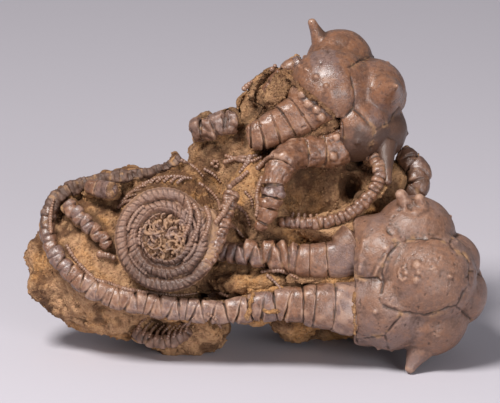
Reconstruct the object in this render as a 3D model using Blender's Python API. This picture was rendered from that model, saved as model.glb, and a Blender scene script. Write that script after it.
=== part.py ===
"""A fossil crinoid specimen: two sea lily crowns, with spiny cups and jointed arms, in a lump of sandstone.

Every piece is laid out in the specimen's own frame, in millimetres, as the specimen is seen face on:
x to the right, y into the rock and z up. The specimen then leans back on its base, and is built in metres.
"""

import math

import bmesh
import bpy
import numpy as np
from mathutils import Matrix, Vector, noise

MM = 0.001

# How the specimen stands: it leans back by this, on a base worn flat at the floor
LEAN = math.radians(15)
FLOOR_AT_Y = -14.0
SPECIMEN_AT = (0.0, -12.5, FLOOR_AT_Y * math.sin(LEAN))

# Clearance between a fossil and what it lies in or against
GAP = 0.6
ROOM_FACES = 0.3
CUP_FACES = 0.8
FACE = np.array([0.0, -1.0, 0.0])

# An arm is a row of short wedge-shaped ossicles: each is thick at one side, and pinched in at its joints
ARM_DEPTH = 0.92
ARM_PINCH = 0.86
ARM_WEDGE = 0.2

# Cups: the middle, then the domed plates as x, y, z from the middle and radius
LOWER_CUP_AT = (45.6, -6.0, 26.6)
LOWER_CUP_PLATES = (
    (2.5, -9.0, 0.3, 13.5),
    (-1.4, -4.0, 11.5, 11.8),
    (2.6, -4.0, -10.3, 11.4),
    (8.8, -3.0, 4.6, 8.4),
    (10.2, -3.0, -4.4, 9.0),
    (-9.0, -5.0, 5.5, 13.0),
    (-8.0, -5.5, -7.0, 13.0),
    (0.0, 9.0, 8.0, 12.0),
    (2.0, 9.0, -7.0, 12.0),
    (9.0, 7.0, -2.0, 9.5),
    (-8.0, 8.0, 0.0, 12.5),
)
# Where the arms stand on a cup its plates end in a facet: its outward direction and how far out it is
LOWER_CUP_FACETS = (((-1.0, 0.0, 0.0), 18.2),) * len(LOWER_CUP_PLATES)
# Spines: the root, the tip, and the radius at each
LOWER_CUP_SPINES = (
    ((44.6, -11.5, 44.0), (40.4, -14.6, 51.3), 4.0, 1.5),
    ((47.4, -11.5, 10.5), (42.9, -14.0, 1.5), 5.2, 1.35),
    ((49.0, 9.0, 37.0), (52.6, 17.0, 41.6), 3.6, 1.0),
    ((52.0, 9.0, 16.0), (56.0, 17.0, 13.0), 3.6, 1.0),
)

UPPER_CUP_AT = (27.5, 6.0, 75.0)
UPPER_CUP_PLATES = (
    (-3.7, -1.0, 12.1, 9.5),
    (5.0, -6.0, 3.4, 9.9),
    (-6.0, -8.0, 4.0, 12.3),
    (0.5, -7.5, -5.5, 10.6),
    (6.0, -3.0, -7.0, 9.3),
    (-3.0, -4.0, -6.0, 9.5),
    (-1.0, 8.0, 6.0, 10.5),
    (4.0, 8.0, -5.0, 10.8),
    (-5.0, 9.0, -1.0, 11.5),
)
UPPER_CUP_FACETS = (
    ((-1.0, 0.0, 0.0), 15.5),
    ((-1.0, 0.0, 0.0), 15.5),
    ((-0.62, 0.0, -0.785), 5.5),
    ((-1.0, 0.0, 0.0), 3.8),
    ((-1.0, 0.0, 0.0), 3.8),
    ((-1.0, 0.0, 0.0), 3.8),
    ((-1.0, 0.0, 0.0), 15.5),
    ((-1.0, 0.0, 0.0), 6.0),
    ((-1.0, 0.0, -0.6), 11.0),
)
UPPER_CUP_SPINES = (
    ((19.8, 3.0, 91.0), (15.7, 1.5, 98.9), 3.4, 0.9),
    ((34.6, -5.0, 78.6), (39.9, -13.6, 80.2), 5.0, 0.5),
    ((36.8, -2.0, 63.5), (36.5, -8.0, 52.4), 3.6, 0.8),
    ((31.0, 16.0, 80.0), (35.0, 24.5, 83.5), 4.0, 0.7),
    ((29.0, 15.0, 63.0), (31.0, 23.0, 57.0), 4.0, 0.7),
)

# Arms: rows of x, y, z and width along each one, and the length of its ossicles
FRONT_ARM = (
    (27.2, -12.6, 18.2, 15.6),
    (24.1, -13.8, 18.6, 14.8),
    (21.0, -14.4, 19.0, 13.5),
    (17.6, -15.0, 19.0, 12.6),
    (14.8, -15.3, 19.3, 11.6),
    (12.3, -15.4, 19.5, 10.0),
    (9.2, -15.3, 19.5, 9.0),
    (5.6, -15.1, 19.1, 8.6),
    (2.0, -14.9, 18.9, 8.3),
    (-1.4, -14.6, 18.3, 7.6),
    (-4.8, -14.4, 17.8, 6.6),
    (-9.8, -14.2, 17.4, 6.3),
    (-15.4, -14.0, 17.6, 6.3),
    (-21.0, -14.0, 18.2, 6.3),
    (-26.6, -14.0, 18.9, 6.4),
    (-32.2, -14.0, 19.9, 6.3),
    (-37.8, -13.8, 21.1, 6.1),
    (-42.0, -13.5, 22.5, 5.8),
    (-46.2, -13.0, 24.5, 5.4),
    (-49.6, -12.4, 26.9, 5.1),
    (-52.4, -11.6, 29.4, 4.9),
    (-54.9, -10.6, 32.3, 4.7),
    (-56.7, -9.4, 35.6, 4.5),
    (-57.7, -8.0, 38.9, 4.3),
    (-57.8, -6.6, 42.3, 4.1),
    (-57.0, -5.0, 45.9, 4.0),
    (-55.2, -3.4, 49.0, 3.9),
    (-52.5, -2.2, 51.1, 3.7),
    (-48.4, -1.2, 52.6, 3.5),
    (-43.4, -0.4, 54.0, 3.3),
    (-36.4, 0.4, 55.1, 3.1),
    (-29.4, 1.2, 56.3, 2.9),
    (-24.4, 2.0, 58.1, 2.7),
    (-21.3, 2.6, 60.2, 2.5),
)
MIDDLE_ARM = (
    (27.2, -10.4, 34.2, 15.6),
    (25.2, -11.6, 33.2, 13.0),
    (23.0, -12.4, 32.1, 10.8),
    (19.6, -12.8, 31.6, 10.2),
    (15.7, -13.0, 31.4, 9.6),
    (12.6, -12.9, 31.6, 9.0),
    (9.8, -12.7, 32.3, 8.3),
    (6.4, -12.4, 33.0, 8.2),
    (3.1, -12.0, 33.2, 7.6),
    (-0.8, -11.6, 33.5, 7.0),
    (-4.2, -10.8, 33.7, 6.2),
    (-7.3, -9.4, 33.9, 5.4),
    (-10.9, -7.4, 34.2, 5.0),
)
INNER_ARM = (
    (-52.4, -10.2, 47.6, 3.8),
    (-50.7, -11.0, 45.6, 4.3),
    (-48.4, -11.6, 43.4, 4.2),
    (-45.6, -12.0, 40.7, 4.0),
    (-42.8, -12.2, 38.2, 3.9),
    (-40.3, -12.2, 35.7, 3.6),
)
ARM_STUB = (
    (-46.2, -7.5, 52.2, 4.4),
    (-43.4, -8.8, 51.5, 4.9),
    (-40.9, -9.8, 51.2, 5.2),
    (-38.1, -10.4, 51.0, 5.3),
)
UNDER_ARM = (
    (-33.6, -2.4, 11.6, 3.4),
    (-29.6, -4.4, 9.4, 3.6),
    (-25.6, -5.0, 8.7, 3.7),
    (-21.8, -4.6, 9.6, 3.6),
    (-18.0, -2.6, 12.0, 3.2),
)
LEFT_ARM = (
    (17.5, -4.2, 76.3, 15.8),
    (14.8, -4.8, 74.1, 14.2),
    (12.5, -5.4, 72.2, 12.4),
    (8.3, -6.2, 69.9, 10.6),
    (5.2, -6.8, 68.3, 9.8),
    (1.1, -7.2, 66.4, 8.6),
    (-2.0, -6.8, 65.7, 6.4),
)
HANGING_ARM = (
    (24.1, -4.0, 64.3, 12.2),
    (21.0, -5.0, 63.1, 11.0),
    (18.2, -6.0, 62.3, 9.7),
    (14.8, -7.6, 61.9, 8.7),
    (11.5, -9.8, 61.1, 8.2),
    (8.7, -12.0, 59.4, 7.9),
    (6.6, -13.8, 56.8, 7.5),
    (5.5, -14.8, 54.0, 7.0),
    (4.8, -15.4, 51.2, 6.7),
    (4.3, -15.7, 48.4, 6.5),
    (3.8, -15.7, 45.9, 6.2),
    (2.5, -15.6, 42.8, 5.0),
    (0.7, -15.4, 40.0, 2.6),
)
TOP_ARM = (
    (13.4, 2.0, 86.4, 6.4),
    (10.0, 2.4, 84.2, 6.2),
    (6.4, 3.0, 81.4, 5.4),
    (3.0, 3.6, 78.4, 4.4),
)
LOOPED_ARM = (
    (31.1, -2.6, 61.6, 3.5),
    (33.6, -6.0, 59.4, 3.6),
    (34.7, -8.8, 55.7, 3.6),
    (33.3, -10.2, 51.5, 3.6),
    (29.7, -10.8, 47.2, 3.6),
    (25.5, -11.2, 44.2, 3.5),
    (21.0, -11.3, 42.6, 3.5),
    (16.0, -11.3, 41.9, 3.4),
    (11.5, -11.0, 42.0, 3.3),
    (7.0, -10.4, 42.4, 3.1),
)
BROKEN_ARM = (
    (-17.4, -2.4, 67.4, 6.0),
    (-13.6, -3.6, 68.6, 6.8),
    (-9.4, -4.0, 69.6, 6.8),
    (-5.2, -3.6, 70.6, 6.2),
)
REAR_ARM = (
    (41.0, 7.0, 61.5, 5.2),
    (44.2, 5.4, 58.8, 5.8),
    (46.2, 3.6, 55.4, 6.2),
    (45.2, 2.6, 51.0, 6.0),
    (43.6, 4.6, 47.0, 5.4),
)
UPPER_BACK_ARM = (
    (12.0, 17.5, 72.0, 12.0),
    (6.5, 20.0, 67.0, 10.5),
    (1.0, 21.5, 61.0, 9.4),
    (-4.5, 22.0, 54.5, 8.6),
    (-10.0, 22.5, 48.0, 7.8),
    (-15.0, 22.5, 41.0, 7.2),
)
LOWER_BACK_ARM = (
    (26.0, 16.0, 29.0, 12.0),
    (18.0, 22.0, 29.5, 10.8),
    (10.0, 26.5, 30.5, 9.6),
    (2.0, 28.0, 30.0, 8.6),
    (-6.0, 27.0, 27.0, 7.8),
    (-14.0, 24.5, 23.5, 7.2),
    (-22.0, 22.0, 22.0, 6.6),
)

# The coiled arm comes in from the upper right and winds clockwise to the middle
COIL_AT = (-24.9, -19.2, 38.3)
COIL_START_ANGLE = math.radians(32)
COIL_START_RADIUS = 14.1
COIL_PITCH = 3.35
COIL_FLARE = 7.6
COIL_FLARE_TURNS = 0.055
COIL_TALL = 1.04
COIL_TURNS = 2.9
COIL_SINK = 6.0
COIL_SINK_TURNS = 0.06
COIL_WIDTHS = (3.2, 2.5)
COIL_BED_RADIUS = 17.0

# The sandstone: rounded lumps as x, y, z and the three half sizes, grown together
ROCK_LUMPS = (
    (-38.0, 6.0, 31.0, 25.0, 18.0, 22.0),
    (-50.5, 5.0, 32.0, 14.0, 12.0, 13.0),
    (-56.0, 4.0, 25.5, 8.0, 9.0, 8.5),
    (-24.0, 7.0, 40.0, 18.0, 16.0, 18.0),
    (-26.0, 0.0, 37.0, 16.0, 17.5, 17.0),
    (-41.0, 6.0, 20.0, 12.0, 12.0, 9.5),
    (-20.0, 9.0, 14.0, 13.0, 14.0, 10.0),
    (-13.0, 7.0, 13.5, 6.5, 9.0, 7.5),
    (5.0, 12.0, 38.0, 22.0, 17.0, 21.0),
    (28.0, 14.0, 37.0, 22.0, 15.0, 20.0),
    (12.0, 9.0, 17.0, 10.0, 13.0, 8.5),
    (-4.0, 10.0, 57.0, 15.0, 13.0, 16.0),
    (6.0, 10.0, 68.0, 12.0, 12.0, 14.0),
    (12.0, 11.0, 76.0, 8.0, 9.0, 10.0),
    (30.0, 9.0, 50.0, 16.0, 12.0, 10.0),
    (20.0, 20.0, 40.0, 30.0, 13.0, 24.0),
    (-28.0, 14.0, 32.0, 28.0, 12.0, 20.0),
    (22.0, 22.0, 17.5, 19.0, 11.0, 10.0),
    (5.0, -1.0, 27.0, 25.0, 8.5, 7.0),
    (24.0, -2.0, 40.0, 9.0, 8.0, 5.0),
    (37.0, 6.0, 50.0, 8.5, 10.0, 10.0),
    (4.0, -3.0, 39.0, 8.0, 8.0, 6.0),
    (0.0, -2.0, 49.0, 8.0, 9.0, 13.0),
)
# Behind each arm the rock stands up as a bed for it: how far back, and how wide, in widths of the arm
ROCK_BEDS = ((0.55, 0.95), (1.25, 1.2))
THINNEST_BED = 4.6
ROCK_GRAIN = 2.4
ROCK_FACES = 760
ROCK_ROUGHNESS = 1.5
ROCK_ROUGH_SCALE = 9.0
# Hollows in the face of the rock: x, z, radius and depth
ROCK_HOLLOWS = (
    (18.5, 51.5, 9.0, 7.0),
    (28.5, 49.5, 4.0, 5.0),
    (-9.0, 53.0, 5.0, 3.0),
    (6.0, 26.0, 7.0, 4.0),
)


def clear_scene():
    for thing in list(bpy.data.objects):
        bpy.data.objects.remove(thing)


def make_material(name, colour, roughness):
    material = bpy.data.materials.new(name)
    material.use_nodes = True
    shader = material.node_tree.nodes["Principled BSDF"]
    shader.inputs["Base Color"].default_value = (*colour, 1.0)
    shader.inputs["Roughness"].default_value = roughness
    shader.inputs["Metallic"].default_value = 0.0
    return material


def add_piece(name, mesh, material=None):
    """A piece in the specimen's frame. With no material it is only a cutter, and isn't part of the object."""
    piece = bpy.data.objects.new(name, mesh)
    bpy.context.scene.collection.objects.link(piece)
    piece.parent = specimen
    if material is None:
        piece.hide_render = True
        piece.display_type = "WIRE"
    else:
        mesh.materials.append(material)
    return piece


def mesh_of(name, points, faces):
    """A closed mesh from points in millimetres."""
    mesh = bpy.data.meshes.new(name)
    mesh.from_pydata([Vector(p) * MM for p in points], [], faces)
    mesh.update()
    return mesh


def combine(piece, other, operation):
    modifier = piece.modifiers.new(f"{operation.lower()}_{other.name}", "BOOLEAN")
    modifier.object = other
    modifier.operation = operation
    modifier.solver = "EXACT"


def settled_mesh(piece):
    """The piece's mesh with its modifiers applied."""
    bpy.context.view_layer.update()
    graph = bpy.context.evaluated_depsgraph_get()
    return bpy.data.meshes.new_from_object(piece.evaluated_get(graph))


def unit(vectors):
    return vectors / np.linalg.norm(vectors, axis=-1, keepdims=True)


def smooth_route(rows, step):
    """Rows read off a smooth curve through the given ones, evenly spaced along it, about a step apart."""
    rows = np.array(rows, float)
    padded = np.vstack([2 * rows[0] - rows[1], rows, 2 * rows[-1] - rows[-2]])
    fine = []
    for a, b, c, d in zip(padded, padded[1:], padded[2:], padded[3:]):
        for t in np.linspace(0, 1, 12, endpoint=False):
            bend = (2 * a - 5 * b + 4 * c - d) * t**2 + (3 * b - a - 3 * c + d) * t**3
            fine.append(b + 0.5 * ((c - a) * t + bend))
    fine = np.array([*fine, rows[-1]])
    steps = np.linalg.norm(np.diff(fine[:, :3], axis=0), axis=1)
    along = np.concatenate([[0.0], np.cumsum(steps)])
    stations = np.linspace(0, along[-1], 2 * max(1, round(along[-1] / step / 2)) + 1)
    return np.column_stack([np.interp(stations, along, column) for column in fine.T])


def arm_mesh(name, rows, ossicle, sides=7, room=0.0):
    """An arm along a route, two rings to an ossicle. With room it is a plain tube that is larger all round."""
    stations = smooth_route(rows, ossicle / 2)
    middles = stations[:, :3]
    along = unit(np.gradient(middles, axis=0))
    front = unit(FACE - (along @ FACE)[:, None] * along)
    across = np.cross(along, front)
    if room:
        spare = room + ARM_WEDGE * stations[[0, -1], 3] / 2
        middles[0] -= along[0] * spare[0]
        middles[-1] += along[-1] * spare[1]
    flats = math.cos(math.pi / sides)
    points = []
    for k, (middle, width) in enumerate(zip(middles, stations[:, 3])):
        at_joint = k % 2 == 0 and not room
        radius = (width / 2 / flats + room) * (ARM_PINCH if at_joint else 1.0)
        lean = ARM_WEDGE * radius * (1 if k % 4 == 0 else -1) * at_joint
        for turn in range(sides):
            angle = 2 * math.pi * (turn + 0.5) / sides
            out = across[k] * math.cos(angle) + front[k] * ARM_DEPTH * math.sin(angle)
            points.append(middle + radius * out + lean * math.cos(angle) * along[k])
    faces = [tuple(range(sides))]
    for start in range(0, len(points) - sides, sides):
        for turn in range(sides):
            after = (turn + 1) % sides
            faces.append((start + after, start + turn, start + sides + turn, start + sides + after))
    faces.append(tuple(reversed(range(len(points) - sides, len(points)))))
    return mesh_of(name, points, faces)


def dome_reach(directions, plates, facets, room):
    """How far the outermost of the domed plates lies from the cup's middle, in each direction."""
    reach = np.zeros(len(directions))
    for (x, y, z, radius), (outward, distance) in zip(plates, facets):
        centre = np.array([x, y, z])
        along = directions @ centre
        root = radius**2 - centre @ centre + along**2
        dome = np.where(root > 0, along + np.sqrt(np.maximum(root, 0)), 0)
        leaning = np.maximum(directions @ unit(np.array(outward)), 1e-6)
        reach = np.maximum(reach, np.minimum(dome + room, (distance + room) / leaning))
    return reach


def cup_mesh(name, middle, plates, facets, room=0.0):
    """A cup: a ball whose surface swells into domed plates, cut off flat where the arms stand on it."""
    ball = bmesh.new()
    bmesh.ops.create_icosphere(ball, subdivisions=4, radius=1.0)
    directions = unit(np.array([v.co for v in ball.verts]))
    reach = dome_reach(directions, plates, facets, room)
    for vertex, direction, far in zip(ball.verts, directions, reach):
        vertex.co = Vector((np.array(middle) + direction * far) * MM)
    mesh = bpy.data.meshes.new(name)
    ball.to_mesh(mesh)
    ball.free()
    return mesh


def spines_mesh(name, spines, room=0.0, sides=8):
    """Blunt cones, each from its root inside the cup to its rounded tip."""
    points, faces = [], []
    for root, tip, root_radius, tip_radius in spines:
        root, tip = Vector(root), Vector(tip)
        along = (tip - root).normalized()
        across = along.orthogonal().normalized()
        up = along.cross(across)
        rings = (
            (root - along * room, root_radius + room),
            (tip + along * room, tip_radius + room),
            (tip + along * (tip_radius * 0.7 + room), tip_radius * 0.65 + room),
        )
        first = len(points)
        for middle, radius in rings:
            for turn in range(sides):
                angle = 2 * math.pi * turn / sides
                out = across * math.cos(angle) + up * math.sin(angle)
                points.append(middle + out * radius)
        faces.append(tuple(reversed(range(first, first + sides))))
        for start in range(first, len(points) - sides, sides):
            for turn in range(sides):
                after = (turn + 1) % sides
                faces.append((start + turn, start + after, start + sides + after, start + sides + turn))
        faces.append(tuple(range(len(points) - sides, len(points))))
    return mesh_of(name, points, faces)


def add_cup(name, middle, plates, facets, spines):
    """A cup with its spines, and the room that it takes in the rock."""
    cup = add_piece(name, cup_mesh(name, middle, plates, facets), fossil)
    fewer = cup.modifiers.new("fewer_faces", "DECIMATE")
    fewer.ratio = CUP_FACES
    combine(cup, add_piece(f"{name}_spines", spines_mesh(name, spines)), "UNION")
    room = add_piece(f"room_for_{name}", cup_mesh(name, middle, plates, facets, room=GAP))
    thorns = add_piece(f"{name}_spine_room", spines_mesh(name, spines, room=GAP))
    combine(room, thorns, "UNION")
    fewer = room.modifiers.new("fewer_faces", "DECIMATE")
    fewer.ratio = ROOM_FACES
    return cup, room


def add_arm(name, rows, ossicle, sides=7, clear_of=()):
    """An arm, cut back from the rooms of what it meets, and the room that it takes in turn."""
    arm = add_piece(name, arm_mesh(name, rows, ossicle, sides), fossil)
    for taken in clear_of:
        combine(arm, taken, "DIFFERENCE")
    room = add_piece(f"room_for_{name}", arm_mesh(name, rows, 1.5 * ossicle, sides, room=GAP))
    return arm, room


def coil_rows(turns):
    """The coiled arm's route for that many turns: a spiral that opens out, and sinks into the rock, at its start."""
    rows = []
    for turn in np.linspace(0, turns, round(turns * 32) + 1):
        angle = COIL_START_ANGLE - 2 * math.pi * turn
        radius = COIL_START_RADIUS - COIL_PITCH * turn + COIL_FLARE * math.exp(-turn / COIL_FLARE_TURNS)
        sunk = COIL_SINK * math.exp(-turn / COIL_SINK_TURNS)
        width = COIL_WIDTHS[0] + (COIL_WIDTHS[1] - COIL_WIDTHS[0]) * math.sqrt(turn / COIL_TURNS)
        x, y, z = COIL_AT
        rise = radius * math.sin(angle) * COIL_TALL
        rows.append((x + radius * math.cos(angle), y + sunk, z + rise, width))
    return rows


def coil_bed():
    """The flat round bed that the coil lies on, as the room in front of it."""
    depth = 20.0
    back = COIL_AT[1] + COIL_WIDTHS[0] * ARM_DEPTH / 2 + GAP
    disc = bmesh.new()
    place = Matrix.Translation(Vector((COIL_AT[0], back - depth / 2, COIL_AT[2])) * MM)
    bmesh.ops.create_cone(
        disc,
        cap_ends=True,
        segments=24,
        radius1=COIL_BED_RADIUS * MM,
        radius2=COIL_BED_RADIUS * MM,
        depth=depth * MM,
        matrix=place @ Matrix.Rotation(math.pi / 2, 4, "X"),
    )
    mesh = bpy.data.meshes.new("coil_bed")
    disc.to_mesh(mesh)
    disc.free()
    return add_piece("room_for_coil", mesh)


def lumps_mesh():
    """The rock's lumps, and the beds that its arms lie on."""
    lumps = bmesh.new()
    for rows in (FRONT_ARM, MIDDLE_ARM, INNER_ARM, ARM_STUB, UNDER_ARM, LEFT_ARM, HANGING_ARM,
                 TOP_ARM, LOOPED_ARM, BROKEN_ARM, REAR_ARM):
        for back, wide in ROCK_BEDS:
            bed = [(x, y + back * w, z, max(THINNEST_BED, wide * w)) for x, y, z, w in rows]
            lumps.from_mesh(arm_mesh("bed", bed, 8.0, 6))
    for x, y, z, half_x, half_y, half_z in ROCK_LUMPS:
        place = Matrix.Translation(Vector((x, y, z)) * MM)
        size = Matrix.Diagonal((half_x * MM, half_y * MM, half_z * MM, 1.0))
        bmesh.ops.create_icosphere(lumps, subdivisions=4, radius=1.0, matrix=place @ size)
    mesh = bpy.data.meshes.new("lumps")
    lumps.to_mesh(mesh)
    lumps.free()
    return mesh


def roughen(mesh):
    """Gives the rock its uneven surface and the hollows in its face."""
    for vertex in mesh.vertices:
        point = vertex.co / MM
        normal = vertex.normal.copy()
        swell = noise.fractal(point / ROCK_ROUGH_SCALE, 1.0, 2.0, 3)
        point += normal * swell * ROCK_ROUGHNESS
        for x, z, radius, depth in ROCK_HOLLOWS:
            off = math.hypot(point.x - x, point.z - z) / radius
            point.y += max(0.0, -normal.y) * depth * math.exp(-(off**2))
        vertex.co = point * MM


def keep_largest_island(mesh):
    """Drops the crumbs that the cuts leave loose."""
    rock = bmesh.new()
    rock.from_mesh(mesh)
    left = set(rock.verts)
    islands = []
    while left:
        island, front = set(), [left.pop()]
        while front:
            vertex = front.pop()
            island.add(vertex)
            near = {edge.other_vert(vertex) for edge in vertex.link_edges} & left
            left -= near
            front.extend(near)
        islands.append(island)
    islands.sort(key=len)
    crumbs = [vertex for island in islands[:-1] for vertex in island]
    bmesh.ops.delete(rock, geom=crumbs, context="VERTS")
    rock.to_mesh(mesh)
    rock.free()


def ground_room():
    """Everything under the floor, in the specimen's leaning frame."""
    size = 400 * MM
    ground = bmesh.new()
    bmesh.ops.create_cube(ground, size=size)
    bmesh.ops.translate(ground, verts=ground.verts, vec=(0, 0, -size / 2))
    mesh = bpy.data.meshes.new("ground")
    ground.to_mesh(mesh)
    ground.free()
    piece = bpy.data.objects.new("ground", mesh)
    bpy.context.scene.collection.objects.link(piece)
    piece.hide_render = True
    piece.display_type = "WIRE"
    return piece


def add_rock(rooms):
    """The sandstone: lumps grown together, roughened, worn flat at the floor and hollowed to hold the fossils."""
    body = add_piece("lumps", lumps_mesh())
    grown = body.modifiers.new("grow_together", "REMESH")
    grown.mode = "VOXEL"
    grown.voxel_size = ROCK_GRAIN * MM
    body = add_piece("rough_rock", settled_mesh(body))
    roughen(body.data)
    fewer = body.modifiers.new("fewer_faces", "DECIMATE")
    fewer.ratio = ROCK_FACES / (2 * len(body.data.polygons))
    combine(body, ground_room(), "DIFFERENCE")
    for room in rooms:
        combine(body, room, "DIFFERENCE")
    mesh = settled_mesh(body)
    keep_largest_island(mesh)
    mesh.materials.clear()
    return add_piece("rock", mesh, sandstone)


clear_scene()
fossil = make_material("fossil_calcite", (0.27, 0.17, 0.12), 0.42)
sandstone = make_material("sandstone", (0.38, 0.25, 0.13), 0.9)
specimen = bpy.data.objects.new("specimen", None)
bpy.context.scene.collection.objects.link(specimen)
specimen.location = Vector(SPECIMEN_AT) * MM
specimen.rotation_euler = (-LEAN, 0.0, 0.0)

lower_cup, lower_cup_room = add_cup(
    "lower_cup", LOWER_CUP_AT, LOWER_CUP_PLATES, LOWER_CUP_FACETS, LOWER_CUP_SPINES
)
upper_cup, upper_cup_room = add_cup(
    "upper_cup", UPPER_CUP_AT, UPPER_CUP_PLATES, UPPER_CUP_FACETS, UPPER_CUP_SPINES
)
front_arm, front_arm_room = add_arm("lower_front_arm", FRONT_ARM, 4.8, clear_of=[lower_cup_room])
middle_arm, middle_arm_room = add_arm(
    "lower_middle_arm", MIDDLE_ARM, 4.2, clear_of=[lower_cup_room, front_arm_room]
)
left_arm, left_arm_room = add_arm("upper_left_arm", LEFT_ARM, 4.2, clear_of=[upper_cup_room])
hanging_arm, hanging_arm_room = add_arm(
    "upper_hanging_arm", HANGING_ARM, 4.2, clear_of=[upper_cup_room, left_arm_room]
)
top_arm, top_arm_room = add_arm("upper_top_arm", TOP_ARM, 3.4, clear_of=[upper_cup_room])
looped_arm, looped_arm_room = add_arm("looped_arm", LOOPED_ARM, 4.4, 6, clear_of=[upper_cup_room])
inner_arm, inner_arm_room = add_arm("inner_arm", INNER_ARM, 3.8, 6)
arm_stub, arm_stub_room = add_arm("arm_stub", ARM_STUB, 3.6)
under_arm, under_arm_room = add_arm("under_arm", UNDER_ARM, 4.4, 6)
broken_arm, broken_arm_room = add_arm("broken_arm", BROKEN_ARM, 3.2)
rear_arm, rear_arm_room = add_arm(
    "rear_arm", REAR_ARM, 3.6, clear_of=[lower_cup_room, upper_cup_room]
)
upper_back_arm, upper_back_arm_room = add_arm(
    "upper_back_arm", UPPER_BACK_ARM, 5.0, clear_of=[upper_cup_room]
)
lower_back_arm, lower_back_arm_room = add_arm(
    "lower_back_arm", LOWER_BACK_ARM, 4.2, clear_of=[lower_cup_room]
)
coiled_arm = add_piece(
    "coiled_arm", arm_mesh("coiled_arm", coil_rows(COIL_TURNS), 4.8, 6), fossil
)
coil_entry_room = add_piece(
    "room_for_coil_entry", arm_mesh("coil_entry", coil_rows(0.3), 6.0, 6, room=GAP)
)

add_rock(
    [
        lower_cup_room,
        upper_cup_room,
        front_arm_room,
        middle_arm_room,
        left_arm_room,
        hanging_arm_room,
        top_arm_room,
        looped_arm_room,
        inner_arm_room,
        arm_stub_room,
        under_arm_room,
        broken_arm_room,
        rear_arm_room,
        upper_back_arm_room,
        lower_back_arm_room,
        coil_bed(),
        coil_entry_room,
    ]
)
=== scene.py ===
"""A fossil crinoid specimen: two spiny sea lily cups and their jointed arms, in a lump of tan sandstone.

Shapes are laid out in the specimen's own frame, in millimetres, as it is seen face on: x to the right,
y into the rock and z up. The specimen then leans back on its base.
"""

import math

import bmesh
import bpy
import numpy as np
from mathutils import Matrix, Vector, noise
from mathutils.bvhtree import BVHTree
from mathutils.kdtree import KDTree


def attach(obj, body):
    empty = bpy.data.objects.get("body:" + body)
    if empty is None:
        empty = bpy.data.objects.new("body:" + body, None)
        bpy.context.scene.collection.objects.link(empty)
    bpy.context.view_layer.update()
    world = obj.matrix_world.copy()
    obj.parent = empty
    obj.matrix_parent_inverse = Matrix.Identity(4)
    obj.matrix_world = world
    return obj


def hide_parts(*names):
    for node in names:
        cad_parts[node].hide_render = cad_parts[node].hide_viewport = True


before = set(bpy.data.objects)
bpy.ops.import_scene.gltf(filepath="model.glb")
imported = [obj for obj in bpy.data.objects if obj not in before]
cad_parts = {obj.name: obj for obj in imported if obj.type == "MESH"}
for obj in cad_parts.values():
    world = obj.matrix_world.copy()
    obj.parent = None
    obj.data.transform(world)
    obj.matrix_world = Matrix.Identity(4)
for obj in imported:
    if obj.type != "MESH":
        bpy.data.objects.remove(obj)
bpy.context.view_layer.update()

# How the specimen lies
# It leans back by 15 degrees on worn feet, and is seen from a metre and a half away, square to its face.
MM = 0.001
LEAN = math.radians(15)
TURN = np.array((
    (1, 0, 0), (0, math.cos(LEAN), math.sin(LEAN)), (0, -math.sin(LEAN), math.cos(LEAN)),
))
LIES_AT = np.array((-0.2, -12.5, -14.0 * math.sin(LEAN)))
SEEN_FROM = np.array((-1.4, -1500.0, 48.0))


def over_table(points):
    """Points of the specimen's frame, laid on the table, in millimetres."""
    return np.asarray(points, float) @ TURN.T + LIES_AT


def laid(points):
    """Points of the specimen's frame, laid on the table, in metres."""
    return over_table(points) * MM


def face_on(points):
    """Where points are seen, as x and z of the specimen's face."""
    shrink = SEEN_FROM[1] / (SEEN_FROM[1] - points[:, 1])
    middle = SEEN_FROM[[0, 2]]
    return (points[:, [0, 2]] - middle) * shrink[:, None] + middle


def unit(vectors):
    """Vectors at a length of 1."""
    return vectors / np.maximum(np.linalg.norm(vectors, axis=-1, keepdims=True), 1e-12)


def fade(value, low, high):
    """0 below low, 1 above high, smooth between."""
    share = np.clip((value - low) / (high - low), 0, 1)
    return share * share * (3 - 2 * share)


def off_spot(places, x, z, radius):
    """How far each place on the face lies from a spot, in the spot's radii."""
    return np.linalg.norm(places - (x, z), axis=1) / radius


# The lower cup
# The cup of the larger sea lily: thick domed plates of calcite, grown edge to edge along fine crooked
# seams, with blunt spines, small tubercles and a facet at the left for the arms.
LOWER_CUP_AT = (45.6, -6.0, 26.6)
# Domed plates, as x, y, z off the cup's middle and radius, and for each a way out and where it is cut flat
LOWER_CUP_PLATES = (
    (2.5, -9.0, 0.3, 13.5), (-1.4, -4.0, 11.5, 11.8), (2.6, -4.0, -10.3, 11.4), (8.8, -3.0, 4.6, 8.4),
    (10.2, -3.0, -4.4, 9.0), (-9.0, -5.0, 5.5, 13.0), (-8.0, -5.5, -7.0, 13.0), (0.0, 9.0, 8.0, 12.0),
    (2.0, 9.0, -7.0, 12.0), (9.0, 7.0, -2.0, 9.5), (-8.0, 8.0, 0.0, 12.5), (-14.0, -1.5, 5.4, 12.6),
    (-14.0, -3.0, -7.0, 12.0),
)
LOWER_CUP_FACETS = (((-1.0, 0.0, 0.0), 18.2),) * len(LOWER_CUP_PLATES)
# Spines, as root, tip and the radius at each
LOWER_CUP_SPINES = (
    ((44.9, -14.6, 41.2), (40.3, -16.8, 50.0), 4.3, 1.6),
    ((47.4, -15.2, 41.8), (45.5, -17.0, 48.9), 4.0, 1.4),
    ((47.6, -11.5, 11.0), (42.9, -14.0, 1.7), 6.6, 1.6),
    ((49.0, 9.0, 37.0), (52.6, 17.0, 41.6), 3.6, 1.0), ((52.0, 9.0, 16.0), (56.0, 17.0, 13.0), 3.6, 1.0),
)
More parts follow.
